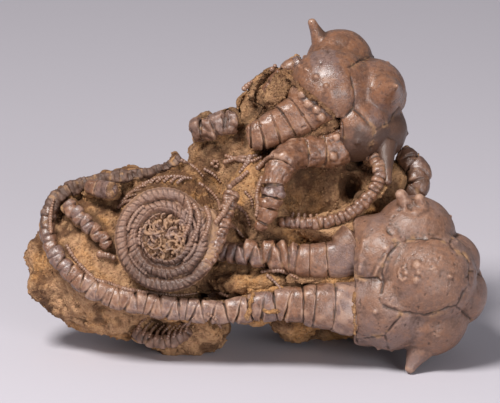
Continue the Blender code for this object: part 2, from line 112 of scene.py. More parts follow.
# The seams between the plates, as points seen face on
LOWER_CUP_SEAMS = (
    ((40.8, 36.7), (43.6, 37.6), (46.4, 37.8), (48.2, 37.6), (50.0, 37.9), (52.1, 37.5), (54.6, 36.3),
     (55.6, 34.9), (58.5, 33.2), (59.5, 31.4), (60.2, 28.6), (59.9, 25.0), (58.8, 22.2), (56.7, 18.7)),
    ((56.7, 18.7), (54.6, 18.3), (52.1, 17.4), (49.6, 16.5), (47.5, 16.0), (45.7, 16.5), (43.6, 17.1),
     (41.1, 16.9), (39.4, 17.6), (36.9, 18.3), (35.5, 19.4), (34.8, 20.8), (35.5, 22.9), (36.0, 25.8),
     (35.6, 27.9), (36.0, 30.0), (37.1, 32.8), (40.3, 36.4)),
    ((26.5, 26.5), (29.1, 26.6), (31.2, 26.3), (34.0, 26.6), (35.3, 25.9)),
    ((37.1, 39.9), (38.3, 38.5), (39.4, 36.7), (40.8, 36.7)),
    ((61.5, 41.5), (58.1, 39.9), (56.7, 38.8), (54.9, 37.4), (54.6, 36.3)),
    ((65.0, 26.9), (62.2, 27.9), (61.3, 28.6), (60.2, 28.6)),
    ((56.7, 18.3), (58.5, 16.9), (60.2, 15.1), (62.6, 12.0)),
    ((41.1, 16.9), (40.4, 15.1), (39.0, 13.7), (37.6, 12.0), (36.2, 10.5), (34.0, 10.0), (28.0, 9.2)),
    ((36.2, 10.5), (37.2, 8.4), (37.6, 5.0)),
    ((27.9, 39.0), (27.6, 33.0), (27.9, 27.0), (27.5, 20.0), (27.8, 14.0), (28.3, 8.5)),
)
# Tubercles, swells and pits: x, z, radius and height of each
LOWER_CUP_MARKS = (
    (45.2, 30.4, 1.3, 0.75), (45.7, 27.9, 0.7, 0.6), (45.2, 25.9, 1.2, 0.8), (42.2, 28.0, 0.7, 0.5),
    (41.6, 29.4, 0.6, 0.45), (42.0, 26.4, 0.6, 0.4), (45.9, 29.2, 3.4, 0.5), (50.3, 28.6, 2.3, 0.5),
    (54.6, 27.0, 1.0, 0.55), (43.3, 46.6, 1.5, -0.8), (38.0, 25.0, 2.4, 0.3), (58.6, 31.0, 3.0, 0.4),
    (51.6, 32.3, 0.7, -0.35), (52.0, 32.6, 1.4, 0.2), (33.6, 17.1, 1.0, 0.55), (29.7, 29.7, 1.1, 0.5),
    (29.4, 28.6, 0.9, 0.4), (25.4, 30.6, 1.0, 0.4), (37.0, 35.0, 2.0, 0.3), (58.6, 22.5, 1.8, -0.35),
    (56.5, 36.8, 1.2, 0.3), (44.0, 50.0, 0.9, -0.3), (51.0, 10.5, 2.4, 0.5),
)
# Patches of another tint: x, z, radius and tint, below 0 for rusty and above it for mauve
LOWER_CUP_WARM = ((47.4, 27.3, 12.6, -1.1), (44.0, 49.0, 5.0, -1.4), (50.0, 9.0, 6.5, -0.9),
                  (32.0, 36.5, 7.0, -1.3), (48.0, 41.0, 6.0, -0.8))
# Low ridges: points seen face on, half width and height
LOWER_CUP_RIDGES = (
    (((36.9, 32.8), (36.0, 29.1), (35.3, 26.3)), 0.6, 0.55),
    (((36.6, 32.4), (34.6, 29.6), (33.5, 27.2)), 0.55, 0.45),
    (((30.6, 37.0), (29.6, 32.6), (29.8, 28.4)), 0.8, 0.4),
    (((40.6, 29.2), (40.2, 28.0), (40.5, 26.6), (41.4, 25.9)), 0.45, 0.3),
    (((37.6, 19.2), (41.0, 17.9), (46.0, 17.2), (52.0, 18.4), (56.6, 21.0), (58.6, 24.6)), 0.5, 0.12),
    (((48.0, 44.0), (47.6, 41.8), (47.9, 39.4)), 0.8, 0.25),
    (((40.8, 45.7), (45.0, 44.0), (50.0, 46.0)), 0.7, -0.2),
)
# The size of the faces of a cup's skin, how high a tubercle is to be worn pale, and how many lie at the back
CUP_GRAIN = 0.31
PALE_TUBERCLE = 0.7
BACK_TUBERCLES = 26
CALCITE_BROWN = (0.160, 0.073, 0.042)
CALCITE_MAUVE = (0.160, 0.097, 0.083)
CALCITE_RUST = (0.235, 0.098, 0.042)
# Crust and dark colours also serve as painted shade, and the matt colour as painted light on the coil
CALCITE_CRUST_AND_SHADE = (0.072, 0.036, 0.023)
CALCITE_MATT_AND_LIGHT = (0.255, 0.155, 0.115)
CALCITE_DARK = (0.070, 0.034, 0.021)
CALCITE_WORN = (0.42, 0.255, 0.175)
SEAM_BROWN = (0.030, 0.016, 0.010)
SILT_TAN = (0.33, 0.185, 0.095)

random = np.random.default_rng(7)
SLOPES = unit(random.normal(size=(256, 3)))
SHUFFLED = random.permutation(256)


def ripple(points, size, octaves=1, seed=0, rougher=0.5):
    """Smooth noise about 0, with swells of that size in millimetres and finer ones on them."""
    total, height = np.zeros(len(points)), 1.0
    for octave in range(octaves):
        place = points / size * 2**octave + 31.7 * (seed + octave)
        cell = np.floor(place).astype(int)
        inside = place - cell
        near = inside**3 * (inside * (inside * 6 - 15) + 10)
        for corner in np.ndindex(2, 2, 2):
            x, y, z = ((cell + corner) & 255).T
            slope = SLOPES[SHUFFLED[(SHUFFLED[(SHUFFLED[x] + y) & 255] + z) & 255]]
            weight = np.prod(np.where(corner, near, 1 - near), axis=1)
            total += height * weight * np.einsum("ij,ij->i", slope, inside - corner)
        height *= rougher
    return total


def off_lines(places, lines):
    """How far each place on the face lies from the nearest of the lines."""
    nearest = np.full(len(places), 99.0)
    for line in lines:
        line = np.array(line, float)
        for start, end in zip(line, line[1:]):
            run = end - start
            share = np.clip((places - start) @ run / (run @ run), 0, 1)
            nearest = np.minimum(nearest, np.linalg.norm(places - start - share[:, None] * run, axis=1))
    return nearest


def chips(points, size, seed=0):
    """The surface of broken stone, about 0: facets of that size, at all heights and slopes."""
    place = points / size + 11.3 * seed
    cell = np.floor(place).astype(int)
    highest = np.full(len(points), -9.0)
    for step in np.ndindex(3, 3, 3):
        near = cell + np.array(step) - 1
        x, y, z = (near & 255).T
        chosen = SHUFFLED[(SHUFFLED[(SHUFFLED[x] + y) & 255] + z) & 255]
        off = place - near - 0.5 - 0.4 * SLOPES[chosen]
        slope = np.einsum("ij,ij->i", SLOPES[SHUFFLED[chosen]], off)
        height = 0.35 * SLOPES[chosen][:, 0] + 0.7 * slope - 0.55 * np.einsum("ij,ij->i", off, off)
        highest = np.maximum(highest, height)
    return highest - 0.25


def placed(name, data):
    """A new object in the scene, at the origin."""
    thing = bpy.data.objects.new(name, data)
    bpy.context.scene.collection.objects.link(thing)
    return thing


def paint(mesh, painted):
    """A value at each point of a mesh, under each name."""
    for attribute, values in painted.items():
        mesh.attributes.new(attribute, "FLOAT", "POINT").data.foreach_set("value", np.float32(values))


def worked_out(thing):
    """The mesh that an object's modifiers make of it."""
    bpy.context.view_layer.update()
    return bpy.data.meshes.new_from_object(thing.evaluated_get(bpy.context.evaluated_depsgraph_get()))


def grown_together(shapes, grain):
    """Closed shapes fused into one skin of even square faces, as its points and faces."""
    points, faces = [], []
    for shape_points, shape_faces in shapes:
        faces += [[v + len(points) for v in face] for face in shape_faces]
        points += [tuple(p) for p in shape_points]
    mesh = bpy.data.meshes.new("working")
    mesh.from_pydata(points, [], faces)
    thing = placed("working", mesh)
    skin = thing.modifiers.new("skin", "REMESH")
    skin.mode = "VOXEL"
    skin.voxel_size = grain
    mesh = worked_out(thing)
    skin_points = np.empty(len(mesh.vertices) * 3)
    mesh.vertices.foreach_get("co", skin_points)
    corners = np.empty(len(mesh.loops), int)
    mesh.loops.foreach_get("vertex_index", corners)
    bpy.data.objects.remove(thing)
    return skin_points.reshape(-1, 3), corners.reshape(-1, 4)


def outward(points, quads):
    """The outward direction at each point."""
    a, b, c, d = (points[quads[:, k]] for k in range(4))
    flat = np.cross(c - a, d - b)
    total = np.zeros_like(points)
    for k in range(4):
        for axis in range(3):
            total[:, axis] += np.bincount(quads[:, k], flat[:, axis], len(points))
    return unit(total)


def levelled(values, quads, rounds=1):
    """Each value or point replaced by the mean of its neighbours, that many times over."""
    values = np.array(values, float)
    ends = np.concatenate([quads[:, [k, (k + 1) % 4]] for k in range(4)])
    ends = np.concatenate([ends, ends[:, ::-1]])
    count = np.maximum(np.bincount(ends[:, 0], minlength=len(values)), 1)
    for _ in range(rounds):
        if values.ndim == 1:
            values = np.bincount(ends[:, 0], values[ends[:, 1]], len(values)) / count
        else:
            values = np.stack([np.bincount(ends[:, 0], column[ends[:, 1]], len(column)) / count
                               for column in values.T], axis=1)
    return values


def crests(points, quads, rounds=2):
    """About +1 on edges and high spots, and -1 in creases: how far each point stands off its neighbours."""
    stands = np.einsum("ij,ij->i", points - levelled(points, quads, rounds), outward(points, quads))
    stands -= np.median(stands)
    return np.clip(stands / (2.5 * np.std(stands) + 1e-9), -1, 1)


def add_piece(name, points, faces, material, slot, **painted):
    """A finished piece of the specimen, with a painted value at each point under each name."""
    mesh = bpy.data.meshes.new(name)
    mesh.from_pydata(laid(points), [], [tuple(int(v) for v in face) for face in faces])
    paint(mesh, painted)
    mesh.polygons.foreach_set("use_smooth", [True] * len(mesh.polygons))
    mesh.materials.append(material)
    piece = placed(name, mesh)
    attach(piece, "root")
    return piece


def add_node(tree, kind, inputs=None, **settings):
    """A node with its settings, and with each named or numbered input set, or linked from a socket."""
    made = tree.nodes.new(kind)
    for setting, value in settings.items():
        setattr(made, setting, value)
    for key, value in (inputs or {}).items():
        if isinstance(value, bpy.types.NodeSocket):
            tree.links.new(value, made.inputs[key])
        elif isinstance(value, tuple) and len(value) == 3 and made.inputs[key].type == "RGBA":
            made.inputs[key].default_value = (*value, 1.0)
        else:
            made.inputs[key].default_value = value
    return made


def ramp(tree, value, low, high, start=0.0, end=1.0):
    """Value stretched from low..high to start..end, smoothly, and held there."""
    stretched = add_node(tree, "ShaderNodeMapRange", {0: value, 1: low, 2: high, 3: start, 4: end},
                         interpolation_type="SMOOTHSTEP")
    return stretched.outputs[0]


def sums(tree, operation, a, b):
    """Two values put together by a plain sum."""
    return add_node(tree, "ShaderNodeMath", {0: a, 1: b}, operation=operation).outputs[0]


def blended(tree, share, colour_a, colour_b):
    """One colour over the other, by that share."""
    mixed = add_node(tree, "ShaderNodeMix", {0: share, 6: colour_a, 7: colour_b}, data_type="RGBA")
    return mixed.outputs[2]


def layered(tree, colour, layers):
    """A colour with others over it: each layer has its value, the low and high ends of that value, its
    shares there, and its colour."""
    for value, low, high, start, end, over in layers:
        colour = blended(tree, ramp(tree, value, low, high, start, end), colour, over)
    return colour


def weathering_group():
    """What age does to both the calcite and the stone: patches, mottling, fine pits and a fine relief."""
    group = bpy.data.node_groups.new("weathering", "ShaderNodeTree")
    for name in ("Patch Size", "Mottle Size", "Grain Size", "Pitting"):
        group.interface.new_socket(name, in_out="INPUT", socket_type="NodeSocketFloat")
    for name in ("Patches", "Mottle", "Pits", "Relief", "Speckle"):
        group.interface.new_socket(name, in_out="OUTPUT", socket_type="NodeSocketFloat")
    given = group.nodes.new("NodeGroupInput")
    place = add_node(group, "ShaderNodeTexCoord").outputs["Object"]

    def cloud(size, detail, rougher, bend=0.0):
        noise_inputs = {"Vector": place, "Scale": sums(group, "DIVIDE", 1.0, given.outputs[size]),
                        "Detail": detail, "Roughness": rougher, "Distortion": bend}
        return add_node(group, "ShaderNodeTexNoise", noise_inputs).outputs["Fac"]

    def cells(share):
        scale = sums(group, "DIVIDE", share, given.outputs["Grain Size"])
        return add_node(group, "ShaderNodeTexVoronoi", {"Vector": place, "Scale": scale})

    patches = cloud("Patch Size", 3.0, 0.6, 0.4)
    mottle = cloud("Mottle Size", 4.0, 0.65, 0.2)
    grain = cloud("Grain Size", 3.0, 0.6)
    speck = ramp(group, cells(0.7).outputs["Distance"], 0.12, 0.32, 1.0, 0.0)
    pits = sums(group, "MULTIPLY", speck, ramp(group, mottle, 0.5, 0.62))
    grit = cells(0.6)
    speckle = add_node(group, "ShaderNodeSeparateColor", {"Color": grit.outputs["Color"]}).outputs["Red"]
    rounded = sums(group, "MULTIPLY", grit.outputs["Distance"], -0.5)
    swells = sums(group, "ADD", sums(group, "ADD", grain, rounded), sums(group, "MULTIPLY", mottle, 0.8))
    relief = sums(group, "SUBTRACT", swells, sums(group, "MULTIPLY", pits, given.outputs["Pitting"]))
    put_out = group.nodes.new("NodeGroupOutput")
    for name, value in (("Patches", patches), ("Mottle", mottle), ("Pits", pits), ("Relief", relief),
                        ("Speckle", speckle)):
        group.links.new(value, put_out.inputs[name])
    return group


weathering = weathering_group()


def new_material(name):
    """A material, its nodes and its shader."""
    material = bpy.data.materials.new(name)
    material.use_nodes = True
    tree = material.node_tree
    return material, tree, tree.nodes["Principled BSDF"]


def weathered(tree, patch, mottle, grain, pitting):
    """What the weathering group puts out, at those sizes in metres."""
    age = add_node(tree, "ShaderNodeGroup", node_tree=weathering)
    sizes = {"Patch Size": patch, "Mottle Size": mottle, "Grain Size": grain, "Pitting": pitting}
    for key, value in sizes.items():
        age.inputs[key].default_value = value
    return age.outputs


def finish_with(tree, shader, inputs, bump_strength, bump_distance, relief):
    """The shader's inputs, and the fine relief of the surface."""
    sizes = {"Strength": bump_strength, "Distance": bump_distance, "Height": relief}
    for key, value in inputs.items():
        if isinstance(value, float):
            shader.inputs[key].default_value = value
        else:
            tree.links.new(value, shader.inputs[key])
    tree.links.new(add_node(tree, "ShaderNodeBump", sizes).outputs["Normal"], shader.inputs["Normal"])


def painted_values(tree, *names):
    """The painted values of those names."""
    return [add_node(tree, "ShaderNodeAttribute", attribute_name=name).outputs["Fac"] for name in names]


def calcite_material():
    """Old calcite: a glossy brown skin with mauve and rusty patches, paler where it is worn, darker in its
    creases, partly dirt and partly painted shade, with tan silt left in the deepest of them. Its crust
    colour is partly real crust and partly painted shade, and its matt colour partly a matt finish and partly
    painted light."""
    material, tree, shader = new_material("fossil_calcite")
    age = weathered(tree, 0.015, 0.0022, 0.00034, 0.3)
    mottle = age["Mottle"]
    seam, crest, silt = painted_values(tree, "seam", "crest", "silt")
    tone, crust, matt = painted_values(tree, "tone", "crust", "matt")
    mauve = sums(tree, "ADD", age["Patches"], sums(tree, "MULTIPLY", tone, 0.10))
    rust = sums(tree, "SUBTRACT", mottle, sums(tree, "MULTIPLY", tone, 0.06))
    silted = sums(tree, "MULTIPLY", silt, ramp(tree, mottle, 0.40, 0.54))
    colour = layered(tree, CALCITE_BROWN, (
        (mauve, 0.46, 0.64, 0.0, 1.0, CALCITE_MAUVE), (rust, 0.48, 0.66, 0.0, 0.55, CALCITE_RUST),
        (mottle, 0.48, 0.32, 0.0, 0.35, CALCITE_DARK), (age["Relief"], 0.72, 0.30, 0.0, 0.5, CALCITE_DARK),
        (age["Speckle"], 0.55, 1.0, 0.0, 0.16, CALCITE_WORN),
    ))
    # Matt colour is a matt finish and painted light on the coil; crust colour is crust and painted shade
    colour = blended(tree, sums(tree, "MULTIPLY", matt, 0.5), colour, CALCITE_MATT_AND_LIGHT)
    colour = blended(tree, crust, colour, CALCITE_CRUST_AND_SHADE)
    # Crests painted paler as wear, creases painted darker as dirt and painted shade
    colour = layered(tree, colour, (
        (crest, 0.15, 1.0, 0.0, 0.55, CALCITE_WORN), (crest, -0.05, -0.8, 0.0, 0.8, CALCITE_DARK),
    ))
    colour = blended(tree, sums(tree, "MULTIPLY", age["Pits"], 0.2), colour, CALCITE_DARK)
    colour = blended(tree, silted, colour, SILT_TAN)
    colour = blended(tree, seam, colour, SEAM_BROWN)
    dusty = sums(tree, "ADD", sums(tree, "MULTIPLY", matt, 0.55), sums(tree, "MULTIPLY", crust, 0.25))
    dull = sums(tree, "MAXIMUM", sums(tree, "MAXIMUM", silted, seam), dusty)
    sheen = ramp(tree, mottle, 0.3, 0.7, 0.23, 0.38)
    roughness = sums(tree, "ADD", sheen, sums(tree, "MULTIPLY", dull, 0.4))
    finish_with(tree, shader, {
        "Base Color": colour, "Roughness": roughness, "Specular IOR Level": 0.5,
        "Coat Weight": ramp(tree, dull, 0.0, 0.45, 0.22, 0.0), "Coat Roughness": 0.22,
    }, bump_strength=0.7, bump_distance=0.00016, relief=age["Relief"])
    return material


calcite = calcite_material()


def ball(subdivisions):
    """Directions all round, and the triangles between them."""
    made = bmesh.new()
    bmesh.ops.create_icosphere(made, subdivisions=subdivisions, radius=1.0)
    directions = unit(np.array([v.co for v in made.verts]))
    faces = [[v.index for v in face.verts] for face in made.faces]
    made.free()
    return directions, faces


def plate_reaches(directions, plates):
    """How far out each domed plate reaches from the cup's middle, in each direction."""
    reaches = []
    for x, y, z, radius in plates:
        centre = np.array((x, y, z))
        along = directions @ centre
        root = radius**2 - centre @ centre + along**2
        reaches.append(np.where(root > 0, along + np.sqrt(np.maximum(root, 0)), 0))
    return np.array(reaches)


def spine_shape(root, tip, root_radius, tip_radius, sides=28, rings=18):
    """A blunt spine that flares into the plate at its root."""
    root, tip = np.array(root), np.array(tip)
    along = unit(tip - root)
    across = unit(np.cross(along, (0.3, 0.9, 0.2)))
    up = np.cross(along, across)
    outline = []
    for share in np.linspace(0, 1, rings):
        flared = tip_radius + (root_radius - tip_radius) * (1 - share) ** 1.25
        outline.append((root + along * np.linalg.norm(tip - root) * share, flared))
    for bend in np.linspace(0, math.pi / 2, 7)[1:-1]:
        outline.append((tip + along * tip_radius * 0.9 * math.sin(bend), tip_radius * math.cos(bend)))
    points = [root]
    for middle, radius in outline:
        for turn in np.linspace(0, 2 * math.pi, sides, endpoint=False):
            points.append(middle + radius * (across * math.cos(turn) + up * math.sin(turn)))
    points.append(tip + along * tip_radius * 0.9)
    faces = [(0, 1 + (k + 1) % sides, 1 + k) for k in range(sides)]
    for ring in range(len(outline) - 1):
        for k in range(sides):
            a, b = 1 + ring * sides + k, 1 + ring * sides + (k + 1) % sides
            faces.append((a, b, b + sides, a + sides))
    last = len(points) - 1
    faces += [(last - sides + k, last - sides + (k + 1) % sides, last) for k in range(sides)]
    return points, faces


def add_cup(name, node, middle, plates, facets, spines, seams, marks, ridges, tone, matt, warm, crust=(),
            rough=1.0):
    """A cup: domes fused with their spines, then its seams, tubercles and ridges worked into the skin."""
    directions, faces = ball(6)
    reaches = plate_reaches(directions, plates)
    for reach, (out, distance) in zip(reaches, facets):
        np.minimum(reach, distance / np.maximum(directions @ unit(np.array(out)), 1e-6), out=reach)
    top = reaches.max(axis=0)
    soft = top + np.log(np.exp(2.2 * (reaches - top)).sum(axis=0)) / 2.2 - 0.1
    flat = np.sort(reaches, axis=0)[-3] > top - 0.01
    body = np.array(middle) + directions * np.where(flat, top, soft)[:, None]
    points, quads = grown_together([(body, faces)] + [spine_shape(*spine) for spine in spines], CUP_GRAIN)
    points = levelled(points, quads, 2)
    normals = outward(points, quads)

    crooked = np.stack([ripple(points, 1.3, seed=1), ripple(points, 1.3, seed=2)], axis=1)
    seen = face_on(points) + 0.10 * crooked
    facing = fade(-normals[:, 1], 0.10, 0.34)
    in_front = off_lines(seen, seams)
    spread = np.sort(plate_reaches(unit(points - np.array(middle)), plates), axis=0)
    behind = (spread[-1] - spread[-2]) * 0.9 + np.abs(ripple(points, 2.0, 2, seed=5)) * 0.5
    seam_off = np.where(facing > 0.5, in_front, behind)
    deep = np.clip(0.62 + 1.5 * ripple(points, 4.0, 3, seed=3), 0.12, 1.1)
    shift = -deep * (0.42 * np.maximum(0, 1 - seam_off / 0.42) + 0.30 * np.exp(-(seam_off**2)))
    beads = np.zeros(len(points))
    for x, z, radius, height in marks:
        mark = facing * np.exp(-2.2 * off_spot(seen, x, z, radius) ** 2)
        shift += height * mark * (1 + 0.5 * ripple(points, 0.8, seed=8))
        if height > PALE_TUBERCLE:
            beads = np.maximum(beads, mark)
    for line, half_width, height in ridges:
        shift += facing * height * np.exp(-((off_lines(seen, [line]) / half_width) ** 2))
    dice = np.random.default_rng(29)
    far_side = np.flatnonzero((normals[:, 1] > -0.25) & (spread[-1] - spread[-2] > 0.9))
    for spot in points[dice.choice(far_side, BACK_TUBERCLES, replace=False)]:
        off = np.linalg.norm(points - spot, axis=1) / dice.uniform(0.6, 1.1)
        shift += 0.5 * np.exp(-2.2 * off**2)
    shift += 0.24 * ripple(points, 6.0, 2, seed=9)
    shift += 0.085 * rough * ripple(points, 1.5, 3, seed=11, rougher=0.7)
    shift -= 0.18 * rough * fade(ripple(points, 1.6, 2, seed=15), 0.34, 0.55)
    points += normals * shift[:, None]

    # Edges and tubercles paler as wear; creases and a band by each seam darker, as dirt and painted shade
    crest = crests(points, quads, 6) * (0.4 + 0.6 * rough) + 0.8 * beads
    crest -= 0.38 * deep * np.exp(-((seam_off / 1.3) ** 2))
    crest -= 0.3 * fade(ripple(points, 5.5, 3, seed=25), 0.1, 0.45)
    silt = np.exp(-((seam_off / 0.8) ** 2)) * fade(ripple(points, 3.5, 3, seed=13), 0.10, 0.35)
    seam = 0.9 * deep * np.exp(-((seam_off / 0.17) ** 2))
    # Dark patches: real crust, and painted shade where they lie low on the cup
    dark = np.zeros(len(points))
    for x, z, radius, strength in crust:
        inside = 1 - off_spot(seen, x, z, radius) + 0.5 * ripple(points, 3.0, 3, seed=17)
        dark = np.maximum(dark, strength * fade(inside, 0.0, 0.5))
    shade = tone + 0.5 * ripple(points, 9.0, 2, seed=19)
    for x, z, radius, warmer in warm:
        inside = 1 - off_spot(seen, x, z, radius) + 0.2 * ripple(points, 3.0, 2, seed=21)
        shade += warmer * fade(inside, 0.0, 0.25) * facing
    dark = np.clip(dark, 0, 1)
    matt = np.clip(matt + 0.8 * matt * ripple(points, 5.0, 3, seed=23), 0, 1)
    cup = add_piece(name, points, quads, calcite, "fossil_calcite", seam=np.clip(seam, 0, 1),
                    crest=np.where(crest > 0, crest * (1 - dark), crest), silt=np.clip(silt, 0, 1),
                    tone=shade, crust=dark, matt=matt)
    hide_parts(node)
    skins[name] = (points, quads)


# The skin of each piece, as points and faces, for what is strewn over the pieces later
skins = {}
add_cup("lower_cup_plates", "lower_cup", LOWER_CUP_AT, LOWER_CUP_PLATES, LOWER_CUP_FACETS, LOWER_CUP_SPINES,
        LOWER_CUP_SEAMS, LOWER_CUP_MARKS, LOWER_CUP_RIDGES, tone=0.5, matt=0.5, warm=LOWER_CUP_WARM)

# The upper cup
# The cup of the smaller sea lily, lying half under its own arms: taller domes with sharper spines, two rows
# of bead-like tubercles beside the first joints, and a horn at the top with a broken, dark root.
UPPER_CUP_AT = (27.5, 6.0, 75.0)
UPPER_CUP_PLATES = (
    (-3.7, -1.0, 12.1, 9.5), (5.0, -6.0, 3.4, 9.9), (-6.0, -8.0, 4.0, 12.3), (0.5, -7.5, -5.5, 10.6),
    (6.0, -3.0, -7.0, 9.3), (-3.0, -4.0, -6.0, 9.5), (-1.0, 8.0, 6.0, 10.5), (4.0, 8.0, -5.0, 10.8),
    (-5.0, 9.0, -1.0, 11.5),
)
UPPER_CUP_FACETS = (
    ((-1.0, 0.0, 0.0), 15.5), ((-1.0, 0.0, 0.0), 15.5), ((-0.62, 0.0, -0.785), 5.5),
    ((-1.0, 0.0, 0.0), 3.8), ((-1.0, 0.0, 0.0), 3.8), ((-1.0, 0.0, 0.0), 3.8), ((-1.0, 0.0, 0.0), 15.5),
    ((-1.0, 0.0, 0.0), 6.0), ((-1.0, 0.0, -0.6), 11.0),
)
UPPER_CUP_SPINES = (
    ((19.9, 3.0, 90.0), (15.9, 1.5, 98.3), 3.9, 1.25), ((34.6, -3.2, 78.2), (39.4, -15.0, 80.0), 8.6, 0.6),
    ((36.4, -3.5, 64.0), (36.9, -9.0, 53.4), 3.3, 1.25), ((31.0, 16.0, 80.0), (35.0, 24.5, 83.5), 4.0, 0.7),
    ((29.0, 15.0, 63.0), (31.0, 23.0, 57.0), 4.0, 0.7),
)
UPPER_CUP_SEAMS = (
    ((33.6, 88.6), (32.1, 88.5), (29.5, 87.8), (27.7, 86.5), (25.8, 85.5)),
    ((25.8, 85.5), (27.0, 82.7), (27.7, 79.9), (28.0, 76.5), (27.7, 74.3), (26.4, 72.7), (24.9, 71.5),
     (23.6, 71.0)),
    ((27.7, 73.7), (29.2, 72.7), (31.1, 70.6), (33.0, 68.7), (33.8, 68.0), (35.8, 69.0), (38.0, 70.6),
     (39.2, 72.4), (40.6, 74.3)),
    ((33.8, 68.0), (33.4, 65.8), (32.6, 63.0), (32.9, 58.0)),
    ((23.9, 70.6), (24.4, 68.4), (24.4, 65.9), (24.1, 62.7), (23.9, 60.2)),
)
UPPER_CUP_MARKS = (
    (17.1, 82.9, 0.85, 1.0), (19.9, 80.4, 0.8, 1.0), (12.6, 88.6, 0.8, 0.6), (14.4, 84.9, 0.8, 0.6),
    (28.6, 64.7, 1.0, 0.6), (20.4, 90.2, 0.8, -0.6), (13.6, 88.0, 1.4, 0.5), (12.6, 85.8, 1.1, 0.6),
    (18.4, 86.8, 0.8, -0.4), (25.4, 84.0, 1.8, 0.3),
)
UPPER_CUP_RIDGES = ((((20.6, 79.0), (21.6, 76.0), (23.0, 72.6)), 1.2, 0.35),)
UPPER_CUP_WARM = ((23.0, 74.5, 6.0, -1.3), (36.5, 80.0, 5.5, -1.1), (29.0, 91.0, 5.5, -0.9),
                  (19.5, 87.0, 4.5, 1.5), (35.0, 72.5, 4.0, 1.4))
# Dark patches: x, z, radius and strength of each. The first four are painted shade low on the cup,
# the other four dark crust at the top
UPPER_CUP_CRUST_AND_SHADE = (
    (29.5, 59.5, 12.0, 1.0), (38.0, 63.5, 8.0, 0.95), (36.6, 55.0, 7.0, 0.6), (40.5, 68.0, 7.0, 0.8),
    (18.2, 96.4, 1.3, 0.8), (19.0, 95.2, 1.6, 0.95), (24.0, 92.6, 2.2, 0.5), (33.0, 88.8, 2.0, 0.7),
)
add_cup("upper_cup_plates", "upper_cup", UPPER_CUP_AT, UPPER_CUP_PLATES, UPPER_CUP_FACETS, UPPER_CUP_SPINES,
        UPPER_CUP_SEAMS, UPPER_CUP_MARKS, UPPER_CUP_RIDGES, tone=-0.6, matt=0.05, warm=UPPER_CUP_WARM,
        crust=UPPER_CUP_CRUST_AND_SHADE, rough=0.45)

# The arms of the lower cup
# Two arms leave the lower cup side by side. Each is a row of calcite ossicles: drums near the cup, then
# wedges that are thick at alternate sides, so their joints lie in a zigzag. The front one runs along the
# foot of the stone and round its left end.
FACE = np.array((0.0, -1.0, 0.0))
# Arms, as x, y, z and width at points along each
FRONT_ARM = (
    (27.2, -12.6, 18.2, 15.6), (24.1, -13.8, 18.6, 14.8), (21.0, -14.4, 19.0, 13.5),
    (17.6, -15.0, 19.0, 12.6), (14.8, -15.3, 19.3, 11.6), (12.3, -15.4, 19.5, 10.0),
    (9.2, -15.3, 19.5, 9.0), (5.6, -15.1, 19.1, 8.6), (2.0, -14.9, 18.9, 8.3), (-1.4, -14.6, 18.3, 7.6),
    (-4.8, -14.4, 17.8, 6.6), (-9.8, -14.2, 17.4, 6.3), (-15.4, -14.0, 17.6, 6.3),
    (-21.0, -14.0, 18.2, 6.3), (-26.6, -14.0, 18.9, 6.4), (-32.2, -14.0, 19.9, 6.3),
    (-37.8, -13.8, 21.1, 6.1), (-42.0, -13.5, 22.5, 5.8), (-46.2, -13.0, 24.5, 5.4),
    (-49.6, -12.4, 26.9, 5.1), (-52.4, -11.6, 29.4, 4.9), (-54.9, -10.6, 32.3, 4.7),
    (-56.7, -9.4, 35.6, 4.5), (-57.7, -8.0, 38.9, 4.3), (-57.8, -6.6, 42.3, 4.1),
    (-57.0, -5.0, 45.9, 4.0),
)
FRONT_ARM_END = (
    (-57.6, -6.0, 43.6, 4.4), (-57.0, -5.0, 45.9, 4.5), (-55.2, -3.6, 49.0, 4.4), (-52.5, -2.6, 51.1, 4.2),
    (-48.4, -1.8, 52.6, 4.0), (-43.4, -1.0, 54.0, 3.8), (-36.4, -0.2, 55.1, 3.6), (-29.4, 0.6, 56.3, 3.2),
    (-24.4, 1.6, 58.1, 2.8), (-21.3, 2.2, 60.2, 2.5),
)
# Joints: how far along the arm each lies, and how much it leans
FRONT_ARM_JOINTS = (
    (6.4, 0.0), (11.5, 0.02), (14.4, 0.08), (18.4, -0.41), (21.8, 0.06), (25.3, -0.28), (29.1, 0.1),
    (32.1, -0.45), (35.7, 0.17), (39.2, -0.39), (42.3, 0.29), (44.5, -0.35), (46.8, -0.05), (48.9, 0.18),
    (51.1, -0.36), (53.9, 0.28), (56.2, -0.25), (58.3, -0.06), (60.7, 0.31), (62.9, -0.28), (65.6, 0.33),
    (67.6, -0.07), (69.6, -0.23), (72.2, 0.28), (74.2, -0.25), (77.0, 0.40), (79.0, -0.18), (81.4, 0.36),
    (83.2, -0.18), (85.2, 0.2), (87.4, -0.2), (89.6, 0.26), (91.9, -0.2),
)
MIDDLE_ARM = (
    (27.4, -11.8, 34.2, 16.4), (25.2, -12.4, 33.2, 13.6), (23.0, -12.8, 32.1, 11.2),
    (19.6, -12.8, 31.6, 10.2), (15.7, -13.0, 31.4, 9.6), (12.6, -12.9, 31.6, 9.0),
    (9.8, -12.7, 32.3, 8.3), (6.4, -12.4, 33.0, 8.2), (3.1, -12.0, 33.2, 7.6), (-0.8, -11.6, 33.5, 7.0),
    (-4.2, -10.8, 33.7, 6.2), (-7.3, -9.4, 33.9, 5.4), (-10.9, -7.4, 34.2, 5.0),
)
MIDDLE_ARM_JOINTS = (
    (8.1, -0.04), (12.9, 0.01), (16.4, 0.1), (18.6, 0.3), (20.8, 0.48), (23.8, -0.30), (26.2, 0.26),
    (28.9, -0.32), (31.0, 0.26), (33.3, -0.15),
)
# How far apart the points of an arm's route lie, and how wide its crisp round tubercles are at most
ROUTE_STEP = 0.25
CRISP_TUBERCLE = 1.3
